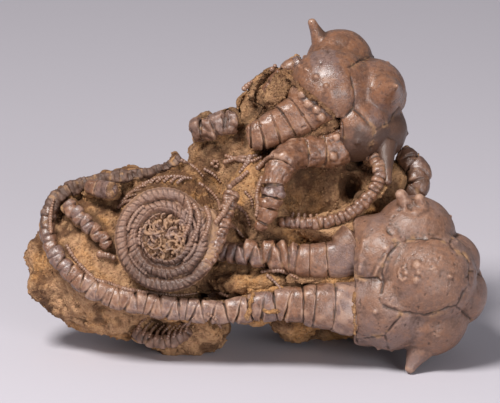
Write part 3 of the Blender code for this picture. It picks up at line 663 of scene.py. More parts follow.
# Where the rings of an ossicle's skin lie, as shares of its length
RING_SHARES = (0.0, 0.035, 0.08, 0.15, 0.28, 0.42, 0.58, 0.72, 0.85, 0.92, 0.965)
FEWER_SHARES = (0.0, 0.05, 0.14, 0.35, 0.65, 0.86, 0.95)
CLOSE_SHARES = (0.0, 0.02, 0.045, 0.08, 0.12, 0.18, 0.25, 0.32, 0.40, 0.48, 0.56, 0.64, 0.72, 0.79, 0.85,
                0.90, 0.94, 0.97, 0.985)
# The rings that close an arm's end: the size of each, and how far out it stands
CAP_RINGS = ((0.94, 0.05), (0.8, 0.10), (0.55, 0.09), (0.28, 0.05), (0.04, 0.06))


def smooth_route(rows, step):
    """Rows read off a smooth curve through the given ones, a step apart, and how far along each lies."""
    rows = np.array(rows, float)
    padded = np.vstack([2 * rows[0] - rows[1], rows, 2 * rows[-1] - rows[-2]])
    fine = []
    for a, b, c, d in zip(padded, padded[1:], padded[2:], padded[3:]):
        for t in np.linspace(0, 1, 12, endpoint=False):
            bend = (2 * a - 5 * b + 4 * c - d) * t**2 + (3 * b - a - 3 * c + d) * t**3
            fine.append(b + 0.5 * ((c - a) * t + bend))
    fine = np.array([*fine, rows[-1]])
    along = np.concatenate([[0.0], np.cumsum(np.linalg.norm(np.diff(fine[:, :3], axis=0), axis=1))])
    stations = np.linspace(0, along[-1], max(2, round(along[-1] / step)))
    return np.column_stack([np.interp(stations, along, column) for column in fine.T]), stations


def joints_along(length, joints, ossicle, lean, dice):
    """The given joints, then even ones at alternate leans as far as the arm's end."""
    joints = list(joints)
    reached = joints[-1][0] if joints else 0.0
    while reached + 1.5 * ossicle < length:
        reached += ossicle * dice.uniform(0.85, 1.15)
        side = 1 if len(joints) % 2 else -1
        joints.append((reached, side * lean * dice.uniform(0.6, 1.3)))
    return [(0.0, 0.0), *joints, (length, 0.0)]


def ringed_faces(count, sides):
    """The faces of a skin made of that many rings, and the two faces that close its ends."""
    ring, turn = np.meshgrid(np.arange(count - 1), np.arange(sides), indexing="ij")
    after = (turn + 1) % sides
    quads = np.stack([ring * sides + after, ring * sides + turn, (ring + 1) * sides + turn,
                      (ring + 1) * sides + after], axis=-1).reshape(-1, 4)
    return quads, [tuple(range(sides)), tuple(reversed(range((count - 1) * sides, count * sides)))]


def arm_shape(rows, joints, sides, shares, swell, groove, depths, slants, gape=0.3, first_plain=False,
              square=0.82, depth=0.92):
    """An arm's skin, ring by ring, with rings along each slanting joint. It gives the points, the faces,
    how far each point lies from a joint, how deep and wide that joint is, and which ossicle it is on."""
    route, stations = smooth_route(rows, ROUTE_STEP)
    middles, widths = route[:, :3], route[:, 3]
    along = unit(np.gradient(middles, axis=0))
    front = unit(FACE - (along @ FACE)[:, None] * along)
    across = np.cross(along, front)
    turns = 2 * np.pi * (np.arange(sides) + 0.5) / sides
    cuts = []
    for at, lean in joints:
        wide = np.interp(at, stations, widths)
        cuts.append(at + lean * wide / 2 * np.cos(turns))
        if len(cuts) > 1:
            cuts[-1] = np.maximum(cuts[-1], cuts[-2] + 0.3)
    cuts = np.clip(np.array(cuts), 0, stations[-1])
    leans = np.array([lean for _, lean in joints])
    rings = []
    for k, long in enumerate(np.diff(cuts, axis=0)):
        thick = np.tanh(2.5 * (leans[k + 1] - leans[k])) * np.cos(turns)
        for share in shares:
            rings.append((cuts[k] + share * long, share + 0 * turns, long, thick, k + 0 * turns))
    rings.append((cuts[-1], 0 * turns, cuts[-1] - cuts[-2], 0 * turns, len(cuts) + 0 * turns))
    at, share, long, thick, which = (np.array(column) for column in zip(*rings))
    off_joint = np.minimum(share, 1 - share) * long
    wide = np.interp(at, stations, widths) / 2
    swell = swell * (0.1 + 0.9 * fade(at, 9.0, 20.0)) if first_plain else swell
    bulge = 1 + swell * (0.25 + 1.2 * thick) * np.abs(np.sin(np.pi * share)) ** 0.6
    bulge += np.append(slants, 0.0)[which.astype(int)] * (share - 0.5)
    near_joint = np.minimum(np.where(share < 0.5, which, which + 1).astype(int), len(depths) - 1)
    tilt = np.minimum(np.abs(leans[near_joint]) * 4, 1)
    opened = 1 - tilt * (0.5 - 0.62 * np.sign(leans[near_joint]) * np.cos(turns))
    cut = groove * depths[near_joint] * np.clip(opened, 0.15, 1.1)
    gash = 0.20 + gape * tilt * np.clip(opened, 0.1, 1.1)
    radius = wide * bulge - cut * np.maximum(0, 1 - off_joint / gash)
    radius -= 0.3 * cut * np.exp(-((off_joint / 0.7) ** 2))
    radius += 0.35 * cut * tilt * np.exp(-(((off_joint - 1.25 * gash) / 0.3) ** 2))
    gash = np.minimum(0.09 + 0.45 * (gash - 0.20), 0.3)
    frame_at = [np.stack([np.interp(at, stations, part[:, axis]) for axis in range(3)], axis=-1)
                for part in (middles, across, front)]
    sideways, forwards = (np.sign(turn) * np.abs(turn) ** square for turn in (np.cos(turns), np.sin(turns)))
    out = frame_at[1] * sideways[None, :, None] + frame_at[2] * depth * forwards[None, :, None]
    skin = frame_at[0] + out * radius[..., None]
    caps = []
    for end, tip in ((0, -along[0]), (-1, along[-1])):
        centre = skin[end].mean(axis=0)
        caps.append([centre + (skin[end] - centre) * size + tip * push * wide[end].mean()
                     for size, push in CAP_RINGS])
    skin = np.concatenate([caps[0][::-1], skin, caps[1]])
    spare = ((len(CAP_RINGS), len(CAP_RINGS)), (0, 0))
    off_joint, cut = np.pad(off_joint, spare, constant_values=1.0), np.pad(cut, spare)
    gash, which = np.pad(gash, spare, mode="edge"), np.pad(which, spare, mode="edge").astype(int)
    quads, ends = ringed_faces(len(skin), sides)
    return skin.reshape(-1, 3), quads, ends, off_joint.ravel(), (cut.ravel(), gash.ravel()), which.ravel()


# The route of each arm, for the beds in the stone
arm_routes = {}


def add_arm(name, node, rows, joints=(), seed=1, ossicle=2.4, lean=0.25, sides=44, shares=RING_SHARES,
            square=0.82, swell=0.09, groove=0.34, gape=0.3, slant=0.04, torn=None, rough=0.12, marks=(),
            tone=0.0, silt=0.7, line=0.8, crust=None, matt=None, pale=None, first_plain=False,
            bare_end=False):
    """An arm that takes the place of its plain solid. Its torn stretch is given as the place along the arm,
    the reach and the strength. Crust, which is dark crust and painted shade, fades in over x and over z,
    matt over x, and pale over x twice, each to its strength."""
    dice = np.random.default_rng(seed)
    length = smooth_route(rows, ROUTE_STEP)[1][-1]
    joints = joints_along(length, joints, ossicle, lean, dice)
    depths = dice.uniform(0.45, 1.15, len(joints))
    slants = slant * np.clip(dice.normal(0, 1, len(joints)), -1.8, 1.8)
    if torn:
        tears = torn[2] * np.exp(-(((np.array([at for at, _ in joints]) - torn[0]) / torn[1]) ** 2))
        depths, slants = depths * (1 + tears), slants * (1 + tears)
    points, quads, ends, off_joint, (cut, gash), which = arm_shape(
        rows, joints, sides, shares, swell, groove, depths, slants, gape, first_plain, square)
    normals = outward(points, quads)
    shift = rough * ripple(points, 2.6, 3, seed=seed) + 0.07 * ripple(points, 0.8, 2, seed=seed + 3)
    shift -= 0.30 * fade(ripple(points, 1.7, 2, seed=seed + 9), 0.30, 0.55)
    shift += 2.2 * rough * chips(points, 1.9, seed)
    uneven = dice.normal(0, 0.08, which.max() + 2)[which]
    seen, beads = face_on(points), np.zeros(len(points))
    for x, z, radius, height in marks:
        off = off_spot(seen, x, z, radius)
        crisp = radius < CRISP_TUBERCLE
        bead = np.sqrt(np.clip(1 - off**2, 0, 1)) if crisp else np.exp(-2.2 * off**2)
        shift += fade(-normals[:, 1], 0, 0.2) * height * bead
        beads = np.maximum(beads, bead * crisp)
    points = points + normals * (shift + uneven * (off_joint > 0.05))[:, None]
    # Crests are painted paler as wear, creases darker as dirt and painted shade
    worn = crests(points, quads, 3) + 0.6 * beads
    strength = line * (cut / groove) * (0.8 + 1.3 * ripple(points, 2.2, 2, seed=seed + 5))
    silt = silt * fade(ripple(points, 2.2, 2, seed=seed + 7), 0.08, 0.34)
    painted = {"seam": np.clip(strength, 0.0, 0.95) * np.exp(-((off_joint / gash) ** 2)),
               "silt": silt * np.exp(-((off_joint / 0.45) ** 2)),
               "tone": np.clip(tone + dice.normal(0, 0.55, which.max() + 2)[which], -1.5, 1.5),
               "crust": np.zeros(len(points))}
    # Dark patches: real crust, and on the middle arm painted shade
    if crust:
        reach = fade(points[:, 0], *crust[0]) * fade(points[:, 2], *crust[1])
        patchy = 1 + 1.5 * ripple(points, 2.5, 2, seed=seed + 11)
        painted["crust"] = np.clip(reach * crust[2] * patchy, 0, 0.9)
    painted["crest"] = np.where(worn > 0, worn * (1 - painted["crust"]), worn)
    if pale:
        painted["crest"] += pale[2] * fade(points[:, 0], *pale[0]) * fade(points[:, 0], *pale[1])
    if matt:
        painted["matt"] = matt[1] * fade(points[:, 0], *matt[0])
    if bare_end:
        bare = np.zeros(len(points))
        bare[-len(CAP_RINGS) * sides:] = 1
        points = points + normals * (0.9 * bare * chips(points, 1.1, seed + 1))[:, None]
        painted["silt"] = np.maximum(painted["silt"], bare)
    arm = add_piece(name, points, [*quads, *ends], calcite, "fossil_calcite", **painted)
    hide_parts(node)
    arm_routes[name] = np.array(rows, float)
    skins[name] = (points, quads)


# Ends of a fade that lie beyond the specimen, so that the whole arm is inside it
ALL_ALONG = (-90.0, -80.0)
add_arm("front_arm_ossicles", "lower_front_arm", FRONT_ARM, FRONT_ARM_JOINTS, seed=11, ossicle=2.1, lean=0.3,
        square=0.7, swell=0.06, groove=0.44, gape=0.36, torn=(27, 11, 1.7), rough=0.17, tone=0.2, line=1.1,
        crust=((0.0, -10.0), (32.0, 44.0), 0.55), matt=((4.0, 16.0), 0.1),
        pale=((-54.0, -44.0), (4.0, -8.0), 0.5), first_plain=True)
add_arm("front_arm_far_end", "lower_front_arm", FRONT_ARM_END, seed=13, ossicle=1.3, lean=0.15, sides=40,
        shares=FEWER_SHARES, square=0.66, swell=0.03, groove=0.13, slant=0.1, rough=0.5, tone=0.3, silt=1.0,
        line=0.5, crust=((0.0, -10.0), (30.0, 40.0), 0.8), matt=(ALL_ALONG, 0.9))
# On the middle arm the dark patch is painted shade on its flare, under the upper cup's arms
add_arm("middle_arm_ossicles", "lower_middle_arm", MIDDLE_ARM, MIDDLE_ARM_JOINTS, seed=23, square=0.7,
        swell=0.08, groove=0.5, gape=0.8, torn=(27, 8, 1.8), rough=0.18,
        crust=((17.0, 22.0), (34.0, 39.0), 0.3), matt=((8.0, 18.0), 0.2), first_plain=True)

# The arms of the upper cup
# Four arms of calcite ossicles. The left one starts with two broad drums that carry bead-like tubercles, the
# hanging one bends down over the stone, the top one follows the ridge, and the thin looped one swings
# right round below them.
LEFT_ARM = (
    (17.5, -4.2, 76.3, 15.8), (14.8, -4.8, 74.1, 14.2), (12.5, -5.4, 72.2, 12.4), (8.3, -6.2, 69.9, 10.6),
    (5.2, -6.8, 68.3, 9.8), (1.1, -7.2, 66.4, 8.6), (-2.0, -6.8, 65.7, 6.4),
)
LEFT_ARM_JOINTS = ((6.9, 0.06), (11.3, 0.08), (14.8, -0.14), (18.7, -0.17))
LEFT_ARM_MARKS = (
    (13.2, 78.0, 1.1, 1.0), (14.8, 75.3, 1.2, 1.1), (17.3, 73.6, 1.0, 0.9), (18.6, 71.6, 1.2, 1.0),
)
HANGING_ARM = (
    (24.1, -4.0, 64.3, 12.2), (21.0, -5.0, 63.1, 11.0), (18.2, -6.0, 62.3, 9.7), (14.8, -7.6, 61.9, 8.7),
    (11.5, -9.8, 61.1, 8.2), (8.7, -12.0, 59.4, 7.9), (6.6, -13.8, 56.8, 7.5), (5.5, -14.8, 54.0, 7.0),
    (4.8, -15.4, 51.2, 6.7), (4.3, -15.7, 48.4, 6.5), (3.8, -15.7, 45.9, 6.2), (2.5, -15.6, 42.8, 5.0),
    (0.7, -15.4, 40.0, 2.6),
)
HANGING_ARM_JOINTS = (
    (6.4, -0.1), (12.7, -0.15), (20.8, 0.21), (27.2, 0.15), (30.6, -0.02), (33.5, 0.02), (38.0, 0.1),
)
HANGING_ARM_MARKS = (
    (22.9, 66.1, 1.1, 0.9), (22.0, 60.6, 1.2, 1.0), (9.0, 61.0, 3.4, 0.9), (9.2, 49.8, 1.6, 1.3),
)
TOP_ARM = ((13.4, 2.0, 86.4, 6.4), (10.0, 2.4, 84.2, 6.2), (6.4, 3.0, 81.4, 5.4), (3.0, 3.6, 78.4, 4.4))
LOOPED_ARM = (
    (31.1, -2.6, 61.6, 3.5), (33.6, -6.0, 59.4, 3.6), (34.7, -8.8, 55.7, 3.6), (33.3, -10.2, 51.5, 3.6),
    (29.7, -10.8, 47.2, 3.6), (25.5, -11.2, 44.2, 3.5), (21.0, -11.3, 42.6, 3.5), (16.0, -11.3, 41.9, 3.4),
    (11.5, -11.0, 42.0, 3.3), (7.0, -10.4, 42.4, 3.1),
)
add_arm("left_arm_ossicles", "upper_left_arm", LEFT_ARM, LEFT_ARM_JOINTS, seed=31, sides=112,
        shares=CLOSE_SHARES, square=0.68, groove=0.5, slant=0.05, torn=(20.0, 5.0, 1.6), rough=0.1,
        marks=LEFT_ARM_MARKS, tone=-1.0, pale=(ALL_ALONG, (30.0, 20.0), 0.25))
add_arm("hanging_arm_ossicles", "upper_hanging_arm", HANGING_ARM, HANGING_ARM_JOINTS, seed=43, sides=92,
        shares=CLOSE_SHARES, swell=0.12, groove=0.55, slant=0.07, torn=(30.0, 13.0, 1.2), rough=0.38,
        marks=HANGING_ARM_MARKS, tone=-0.8, silt=1.0)
add_arm("top_arm_ossicles", "upper_top_arm", TOP_ARM, seed=53, ossicle=2.6, sides=32)
add_arm("looped_arm_ossicles", "looped_arm", LOOPED_ARM, seed=61, ossicle=1.55, lean=0.12, sides=24,
        shares=FEWER_SHARES, swell=0.12, groove=0.28, rough=0.05, tone=-0.1)

# Broken and far arms
# Short lengths of other arms, of calcite too, that the stone lets show: two stubs with broken ends, one on
# the inside of the left bend, one under the foot, one behind the cups, and the two thick ones at the back.
INNER_ARM = (
    (-52.4, -10.2, 47.6, 3.8), (-50.7, -11.0, 45.6, 4.3), (-48.4, -11.6, 43.4, 4.2),
    (-45.6, -12.0, 40.7, 4.0), (-42.8, -12.2, 38.2, 3.9), (-40.3, -12.2, 35.7, 3.6),
)
ARM_STUB = (
    (-46.4, -6.6, 52.2, 4.6), (-43.8, -8.6, 51.6, 5.0), (-41.6, -10.6, 51.3, 5.2),
    (-39.8, -12.6, 51.1, 5.3),
)
UNDER_ARM = (
    (-33.6, -2.4, 11.6, 3.4), (-29.6, -4.4, 9.4, 3.6), (-25.6, -5.0, 8.7, 3.7), (-21.8, -4.6, 9.6, 3.6),
    (-18.0, -2.6, 12.0, 3.2),
)
BROKEN_ARM = (
    (-17.4, -2.4, 67.4, 6.0), (-13.6, -3.6, 68.6, 6.8), (-9.4, -4.0, 69.6, 6.8), (-5.2, -3.6, 70.6, 6.2),
)
REAR_ARM = (
    (41.0, 7.0, 61.5, 5.2), (44.2, 5.4, 58.8, 5.8), (46.2, 3.6, 55.4, 6.2), (45.2, 2.6, 51.0, 6.0),
    (43.6, 4.6, 47.0, 5.4),
)
UPPER_BACK_ARM = (
    (12.0, 17.5, 72.0, 12.0), (6.5, 20.0, 67.0, 10.5), (1.0, 21.5, 61.0, 9.4), (-4.5, 22.0, 54.5, 8.6),
    (-10.0, 22.5, 48.0, 7.8), (-15.0, 22.5, 41.0, 7.2),
)
LOWER_BACK_ARM = (
    (26.0, 16.0, 29.0, 12.0), (18.0, 22.0, 29.5, 10.8), (10.0, 26.5, 30.5, 9.6), (2.0, 28.0, 30.0, 8.6),
    (-6.0, 27.0, 27.0, 7.8), (-14.0, 24.5, 23.5, 7.2), (-22.0, 22.0, 22.0, 6.6),
)
add_arm("inner_arm_ossicles", "inner_arm", INNER_ARM, seed=71, ossicle=1.7, lean=0.3, sides=28, swell=0.14,
        tone=0.4)
add_arm("arm_stub_ossicles", "arm_stub", ARM_STUB, seed=73, ossicle=4.0, lean=0.05, sides=48, rough=0.2,
        tone=0.3, bare_end=True)
add_arm("under_arm_ossicles", "under_arm", UNDER_ARM, seed=79, ossicle=1.6, lean=0.2, sides=24,
        shares=FEWER_SHARES, rough=0.3, tone=-0.4, silt=1.0, crust=(ALL_ALONG, ALL_ALONG, 0.35),
        matt=(ALL_ALONG, 0.8))
add_arm("broken_arm_ossicles", "broken_arm", BROKEN_ARM, seed=83, ossicle=3.2, lean=0.3, sides=56,
        shares=CLOSE_SHARES, swell=0.14, groove=0.8, gape=0.6, slant=0.14, rough=0.6, tone=-0.2, silt=1.0,
        crust=(ALL_ALONG, ALL_ALONG, 0.2), matt=(ALL_ALONG, 0.4))
add_arm("rear_arm_ossicles", "rear_arm", REAR_ARM, seed=89, ossicle=2.6, lean=0.5, sides=56, swell=0.12,
        groove=0.6, rough=0.2, crust=(ALL_ALONG, ALL_ALONG, 0.5))
add_arm("upper_back_arm_ossicles", "upper_back_arm", UPPER_BACK_ARM, seed=97, ossicle=3.0, lean=0.3,
        tone=0.2)
add_arm("lower_back_arm_ossicles", "lower_back_arm", LOWER_BACK_ARM, seed=101, ossicle=2.8, lean=0.3,
        tone=0.1)

# The coiled arm
# The most striking arm comes out of the stone above the middle and winds clockwise to the centre in nearly
# three turns of short, ribbed ossicles that lie on the stone like a coiled rope.
COIL_AT = (-24.9, -19.2, 38.3)
COIL_START_ANGLE = math.radians(32)
COIL_START_RADIUS = 14.1
# How much closer each turn lies, how many turns there are, and how much taller than wide the coil is
COIL_PITCH = 3.35
COIL_TURNS = 2.9
COIL_TALL = 1.04
# At its start the arm lies farther out, sunk into the stone, and is wider, for these parts of a turn
COIL_FLARE, COIL_FLARE_TURNS = 7.6, 0.055
COIL_SINK, COIL_SINK_TURNS = 6.0, 0.06
COIL_WIDER = 1.8
# The arm's width at the coil's start and middle, and the radius of the bed that it lies in
COIL_WIDTHS = (3.2, 2.5)
COIL_BED_RADIUS = 17.0
# How far its face stands back, where its first stretch ends, in turns, and how long an ossicle is
COIL_FRONT = 1.5
COIL_TAIL_ENDS = 0.20
COIL_OSSICLE = 1.42
# How high each winding stands off the stone
COIL_TOPS = (2.75, 3.2, 2.75, 2.2)
# Rows of beads between the windings: the winding, the turn where each row starts and its span
COIL_BEADS = (
    (0.05, 0.95, 0.16), (0.0, 1.13, 0.10), (1.0, 1.0, 0.14), (1.0, 1.18, 0.10), (0.0, 0.62, 0.12),
    (1.0, 0.55, 0.1), (0.0, 0.42, 0.1),
)
COIL_BEAD_RADIUS = 0.52
# The crumbly crater in the middle: its radius, and how many curled fragments and crumbs lie in it
CRATER_RADIUS = 5.7
CRATER_FRAGMENTS, CRATER_CRUMBS = 44, 90
# How many tilts the ossicles share
TILTS = 400


def coil_radius(turn):
    """How far the coiled arm lies from the coil's middle, that many turns from its start."""
    return COIL_START_RADIUS - COIL_PITCH * turn + COIL_FLARE * np.exp(-turn / COIL_FLARE_TURNS)


def coil_width(turn):
    """How wide the coiled arm is, that many turns from its start."""
    return COIL_WIDTHS[0] + (COIL_WIDTHS[1] - COIL_WIDTHS[0]) * np.sqrt(np.clip(turn / COIL_TURNS, 0, 1))


def coil_rows(last_turn):
    """The coiled arm's route: a spiral that opens out, and sinks into the stone, at its start."""
    rows = []
    for turn in np.linspace(0, last_turn, max(6, round(last_turn * 32) + 1)):
        angle = COIL_START_ANGLE - 2 * math.pi * turn
        sunk = COIL_SINK * math.exp(-turn / COIL_SINK_TURNS)
        width = coil_width(turn) + COIL_WIDER * math.exp(-turn / COIL_SINK_TURNS)
        x, y, z = COIL_AT
        rows.append((x + coil_radius(turn) * math.cos(angle), y + sunk,
                     z + coil_radius(turn) * math.sin(angle) * COIL_TALL, width))
    return rows


def arc_of_balls(middle, radius, start, span, size, height):
    """Balls close together along an arc, each as x, z, size and height: a curled fragment."""
    x, z = middle
    turns = start + np.linspace(0, span, max(3, int(abs(span) * radius / (0.45 * size))))
    return [(x + radius * math.cos(t), z + radius * math.sin(t), size, height) for t in turns]


def coil_skin(steps=82, spokes=366):
    """The coil's face as rings about its middle. Its height off the stone is read from the spiral: rounded
    windings with ribs, the beads that lie between them, and curled fragments in the sunken middle."""
    dice = np.random.default_rng(19)
    turns = 2 * np.pi * np.arange(spokes) / spokes
    share = np.linspace(0.01, 1, steps)
    first = ((COIL_START_ANGLE - turns) / (2 * np.pi)) % 1
    outermost = COIL_START_RADIUS - COIL_PITCH * first
    for _ in range(30):
        outermost = (np.roll(outermost, 1) + outermost + np.roll(outermost, -1)) / 3
    outermost = outermost + COIL_WIDTHS[0] / 2 + 0.15 + 0.16 * np.abs(np.sin(turns * 27 + np.sin(3 * turns)))
    radius = share[:, None] * outermost
    turn = np.broadcast_to(turns, radius.shape)
    place = np.stack([radius * np.cos(turn), 0 * radius, radius * np.sin(turn)], axis=-1).reshape(-1, 3)

    def uneven(size, octaves, seed, rougher=0.5):
        return ripple(place, size, octaves, seed, rougher).reshape(radius.shape)

    shaky = 0.55 * uneven(3.6, 2, 111) + 0.3 * uneven(1.2, 2, 112)
    worn = fade(uneven(2.6, 2, 114), 0.04, 0.32)
    height = 1.3 * fade(outermost - radius, 0.8, 2.4) + 0.25 * uneven(2.0, 3, 113)
    joint, shade = np.zeros_like(radius), np.zeros_like(radius)
    tilt = dice.normal(0, 0.13, TILTS)
    for winding, top in enumerate(COIL_TOPS):
        t = first + winding
        middle = COIL_START_RADIUS - COIL_PITCH * t
        wide = 1.10 * coil_width(t)
        rib = 2 * np.pi * (COIL_START_RADIUS * t - COIL_PITCH * t**2 / 2) / COIL_OSSICLE
        off = (radius + shaky - middle) / (wide / 2)
        at = rib + 0.28 * off + 0.12 * np.sin(t * 9) + 0.5 * shaky
        ossicle = np.floor(at).astype(int)
        to_joint = np.minimum(at - ossicle, ossicle + 1 - at) * COIL_OSSICLE
        top = top + tilt[ossicle % TILTS]
        off = off * (1 + 0.16 * (at - ossicle - 0.5) * np.sign(off) + 0.5 * tilt[(ossicle + 7) % TILTS])
        crown = np.sqrt(np.clip(1 - np.abs(off) ** 2.3, 0, 1)) + 0.12 * off
        ribs = 0.5 * np.clip(1 - to_joint / 0.36, 0, 1) * np.clip(0.6 + 0.6 * off, 0.1, 1) * (1 - 0.7 * worn)
        rise = 0.9 + (top - 0.9) * crown - ribs
        rise -= 0.25 * np.exp(-(((off + 0.15) / 0.12) ** 2)) * (winding == 1)
        there = (np.abs(off) < 1) & (t > COIL_TAIL_ENDS * 0.6) & (t < COIL_TURNS) & (rise > height)
        height = np.where(there, rise, height)
        outer_joint = np.exp(-((to_joint / 0.13) ** 2)) * np.clip(0.5 + 0.5 * off, 0, 1)
        joint = np.where(there, outer_joint, joint)
        shade = np.where(there, tilt[ossicle % TILTS] * 4, shade)
    crater = fade(radius, CRATER_RADIUS + 0.8, CRATER_RADIUS)
    height = height * (1 - crater) + crater * (0.45 + 0.35 * uneven(1.4, 3, 117))
    balls = []
    for _ in range(CRATER_FRAGMENTS):
        out, at = CRATER_RADIUS * math.sqrt(dice.uniform(0.02, 1)), dice.uniform(0, 2 * math.pi)
        balls += arc_of_balls((out * math.cos(at), out * math.sin(at)), dice.uniform(0.7, 1.9),
                              at + dice.uniform(-1.2, 1.2), dice.uniform(1.2, 3.2), dice.uniform(0.26, 0.44),
                              0.9 + 0.26 * out * dice.uniform(0.4, 1.0))
    for _ in range(CRATER_CRUMBS):
        out, at = 6.0 * math.sqrt(dice.uniform(0, 1)), dice.uniform(0, 2 * math.pi)
        crumb, lies = dice.uniform(0.18, 0.34), dice.uniform(0.6, 1.3)
        balls.append((out * math.cos(at), out * math.sin(at), crumb, lies))
    for winding, start, span in COIL_BEADS:
        for t in np.arange(start, start + span, 0.0105 * (1 + winding)):
            out = COIL_START_RADIUS - COIL_PITCH * (t + 0.5 + winding)
            at = COIL_START_ANGLE - 2 * math.pi * t
            balls.append((out * math.cos(at), out * math.sin(at), COIL_BEAD_RADIUS, 2.75 - 0.3 * winding))
    for x, z, size, top in balls:
        apart = size**2 - (place[:, 0] - x) ** 2 - (place[:, 2] - z) ** 2
        rise = np.where(apart > 0, top + np.sqrt(np.maximum(apart, 0)), 0).reshape(radius.shape)
        shade = np.where(rise > height, 0.4, shade)
        height = np.maximum(height, rise)
    height += 0.16 * uneven(0.9, 3, 119, rougher=0.7) - 0.2 * worn
    tan_rim = fade(np.cos(turn), 0.72, 0.9) * fade(radius, 11.4, 12.4)
    height = height * (1 - 0.5 * tan_rim) + 0.5 * tan_rim * 2.3
    rim = fade(share[:, None], 0.93, 1.0) ** 2
    x, y, z = COIL_AT
    depth = y + COIL_FRONT - height + rim * (height + 1.5)
    points = np.stack([x + radius * np.cos(turn), depth, z + COIL_TALL * radius * np.sin(turn)], axis=-1)
    skirt = points[-1] + (0, 6.0, 0) + 0.04 * (np.array(COIL_AT) - points[-1])
    points = np.concatenate([points, skirt[None]])
    between = fade(2.0 - height, 0.0, 0.7) * fade(uneven(5.0, 3, 121), -0.1, 0.25)
    # Painted light and shade: the upper half of the coil is painted paler and matt, the lower half darker
    lit = fade(np.sin(turn), -0.9, 0.0)
    silt = np.max([0.65 * crater, 0.8 * tan_rim, 0.7 * between], axis=0)
    painted = {"seam": 0.75 * joint, "silt": silt, "tone": np.clip(shade, -1.5, 1.5),
               "matt": 0.35 + 0.65 * lit, "crust": 0.75 * (1 - lit)}
    painted = {key: np.pad(value, ((0, 1), (0, 0))).ravel() for key, value in painted.items()}
    # Each face starts at its next corner, so that it folds along its other diagonal
    quads, ends = ringed_faces(steps + 1, spokes)
    return points.reshape(-1, 3), np.roll(quads, -1, axis=1), ends, painted


points, quads, ends, painted = coil_skin()
# Crests paler as wear, creases darker as dirt and painted shade, plus the painted light of the upper half
worn = crests(points, quads, 3) + 0.25 * painted["matt"]
coil = add_piece("coiled_arm_ossicles", points, [*quads, *ends], calcite, "fossil_calcite", crest=worn,
                 **painted)
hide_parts("coiled_arm")
skins["coiled_arm_ossicles"] = (points, quads)
add_arm("coiled_arm_start", "coiled_arm", coil_rows(COIL_TAIL_ENDS), seed=107, ossicle=1.4, lean=0.14,
        sides=24, shares=FEWER_SHARES, swell=0.1, groove=0.22, rough=0.25, tone=-0.2, line=0.6)

# The sandstone
# The lump that holds everything: crumbly tan and ochre stone with dark brown patches, picked away round the
# fossils so that they stand proud of it, hollow between the two cups, and worn flat where it stands.
ROCK_GRAIN = 0.6
# The stone is grown from lumps, as x, y, z and half sizes
ROCK_LUMPS = (
    (-38.0, 6.0, 31.0, 25.0, 18.0, 22.0), (-50.5, 5.0, 32.0, 14.0, 12.0, 13.0),
    (-56.0, 4.0, 25.5, 8.0, 9.0, 8.5), (-24.0, 7.0, 40.0, 18.0, 16.0, 18.0),
    (-26.0, 0.0, 37.0, 16.0, 17.5, 17.0), (-41.0, 6.0, 20.0, 12.0, 12.0, 9.5),
    (-20.0, 9.0, 14.0, 13.0, 14.0, 10.0), (-13.0, 7.0, 13.5, 6.5, 9.0, 7.5),
    (5.0, 12.0, 38.0, 22.0, 17.0, 21.0), (28.0, 14.0, 37.0, 22.0, 15.0, 20.0),
    (12.0, 9.0, 17.0, 10.0, 13.0, 8.5), (-4.0, 10.0, 57.0, 15.0, 13.0, 16.0),
    (6.0, 10.0, 68.0, 12.0, 12.0, 14.0), (12.0, 11.0, 76.0, 8.0, 9.0, 10.0),
    (30.0, 9.0, 50.0, 16.0, 12.0, 10.0), (20.0, 20.0, 40.0, 30.0, 13.0, 24.0),
    (-28.0, 14.0, 32.0, 28.0, 12.0, 20.0), (22.0, 22.0, 17.5, 19.0, 11.0, 10.0),
    (5.0, -1.0, 27.0, 25.0, 8.5, 7.0), (24.0, -2.0, 40.0, 9.0, 8.0, 5.0),
    (37.0, 6.0, 50.0, 8.5, 10.0, 10.0), (4.0, -3.0, 39.0, 8.0, 8.0, 6.0),
    (0.0, -2.0, 49.0, 8.0, 9.0, 13.0), (8.0, 2.0, 78.0, 9.0, 8.0, 8.0),
    (22.0, -4.6, 40.4, 10.5, 9.4, 4.0), (16.0, 4.0, 52.0, 13.0, 8.0, 11.0),
    (1.0, -6.4, 25.5, 15.0, 7.4, 3.8),
)
# Beds under each arm: how far back each lies and how wide it is, in widths of the arm
ROCK_BEDS = ((0.55, 0.95), (1.25, 1.2))
THINNEST_BED = 4.6
# The stone's broad swells: their size and height
ROCK_SWELL_SIZE, ROCK_SWELL = 9.0, 1.5
# How deep the stone counts as its face, and how far from an arm it is picked back, in the arm's half widths
PICKED_DEPTH, PICKED_REACH = 6, 1.5
# Hollows in the face: x, z, radius and depth
ROCK_HOLLOWS = (
    (15.5, 53.0, 6.0, 3.4), (27.2, 50.0, 2.5, 8.0), (26.6, 52.8, 2.2, 5.0), (-9.0, 53.0, 5.0, 3.0),
)
# A ragged edge beside the upper cup, as x and z: the stone steps back to the left of it
ROCK_EDGE = ((-3.0, 67.0), (-1.4, 70.8), (2.0, 76.0), (5.6, 83.5), (8.0, 87.5), (10.0, 92.0))
ROCK_STEP = 4.5
# Smoother parts of the face: x, z, half width, half height and how smooth
ROCK_CALM = ((-44.0, 30.0, 14.0, 13.0, 0.9), (18.0, 50.0, 14.0, 10.0, 1.0), (20.0, 40.0, 12.0, 5.0, 0.9),
             (-9.0, 53.0, 7.0, 7.0, 0.6), (8.0, 79.0, 5.0, 6.0, 0.8))
# The sandy patch beside the left arm: x, z, half width, half height and how much grittier it is
SANDY_PATCH = (8.0, 79.0, 5.0, 6.5, 4.0)
# The middle of the face, where only the listed stains and painted shade lie: x, z, half width and half
# height
STAIN_FREE = (17.0, 52.0, 15.0, 10.0)
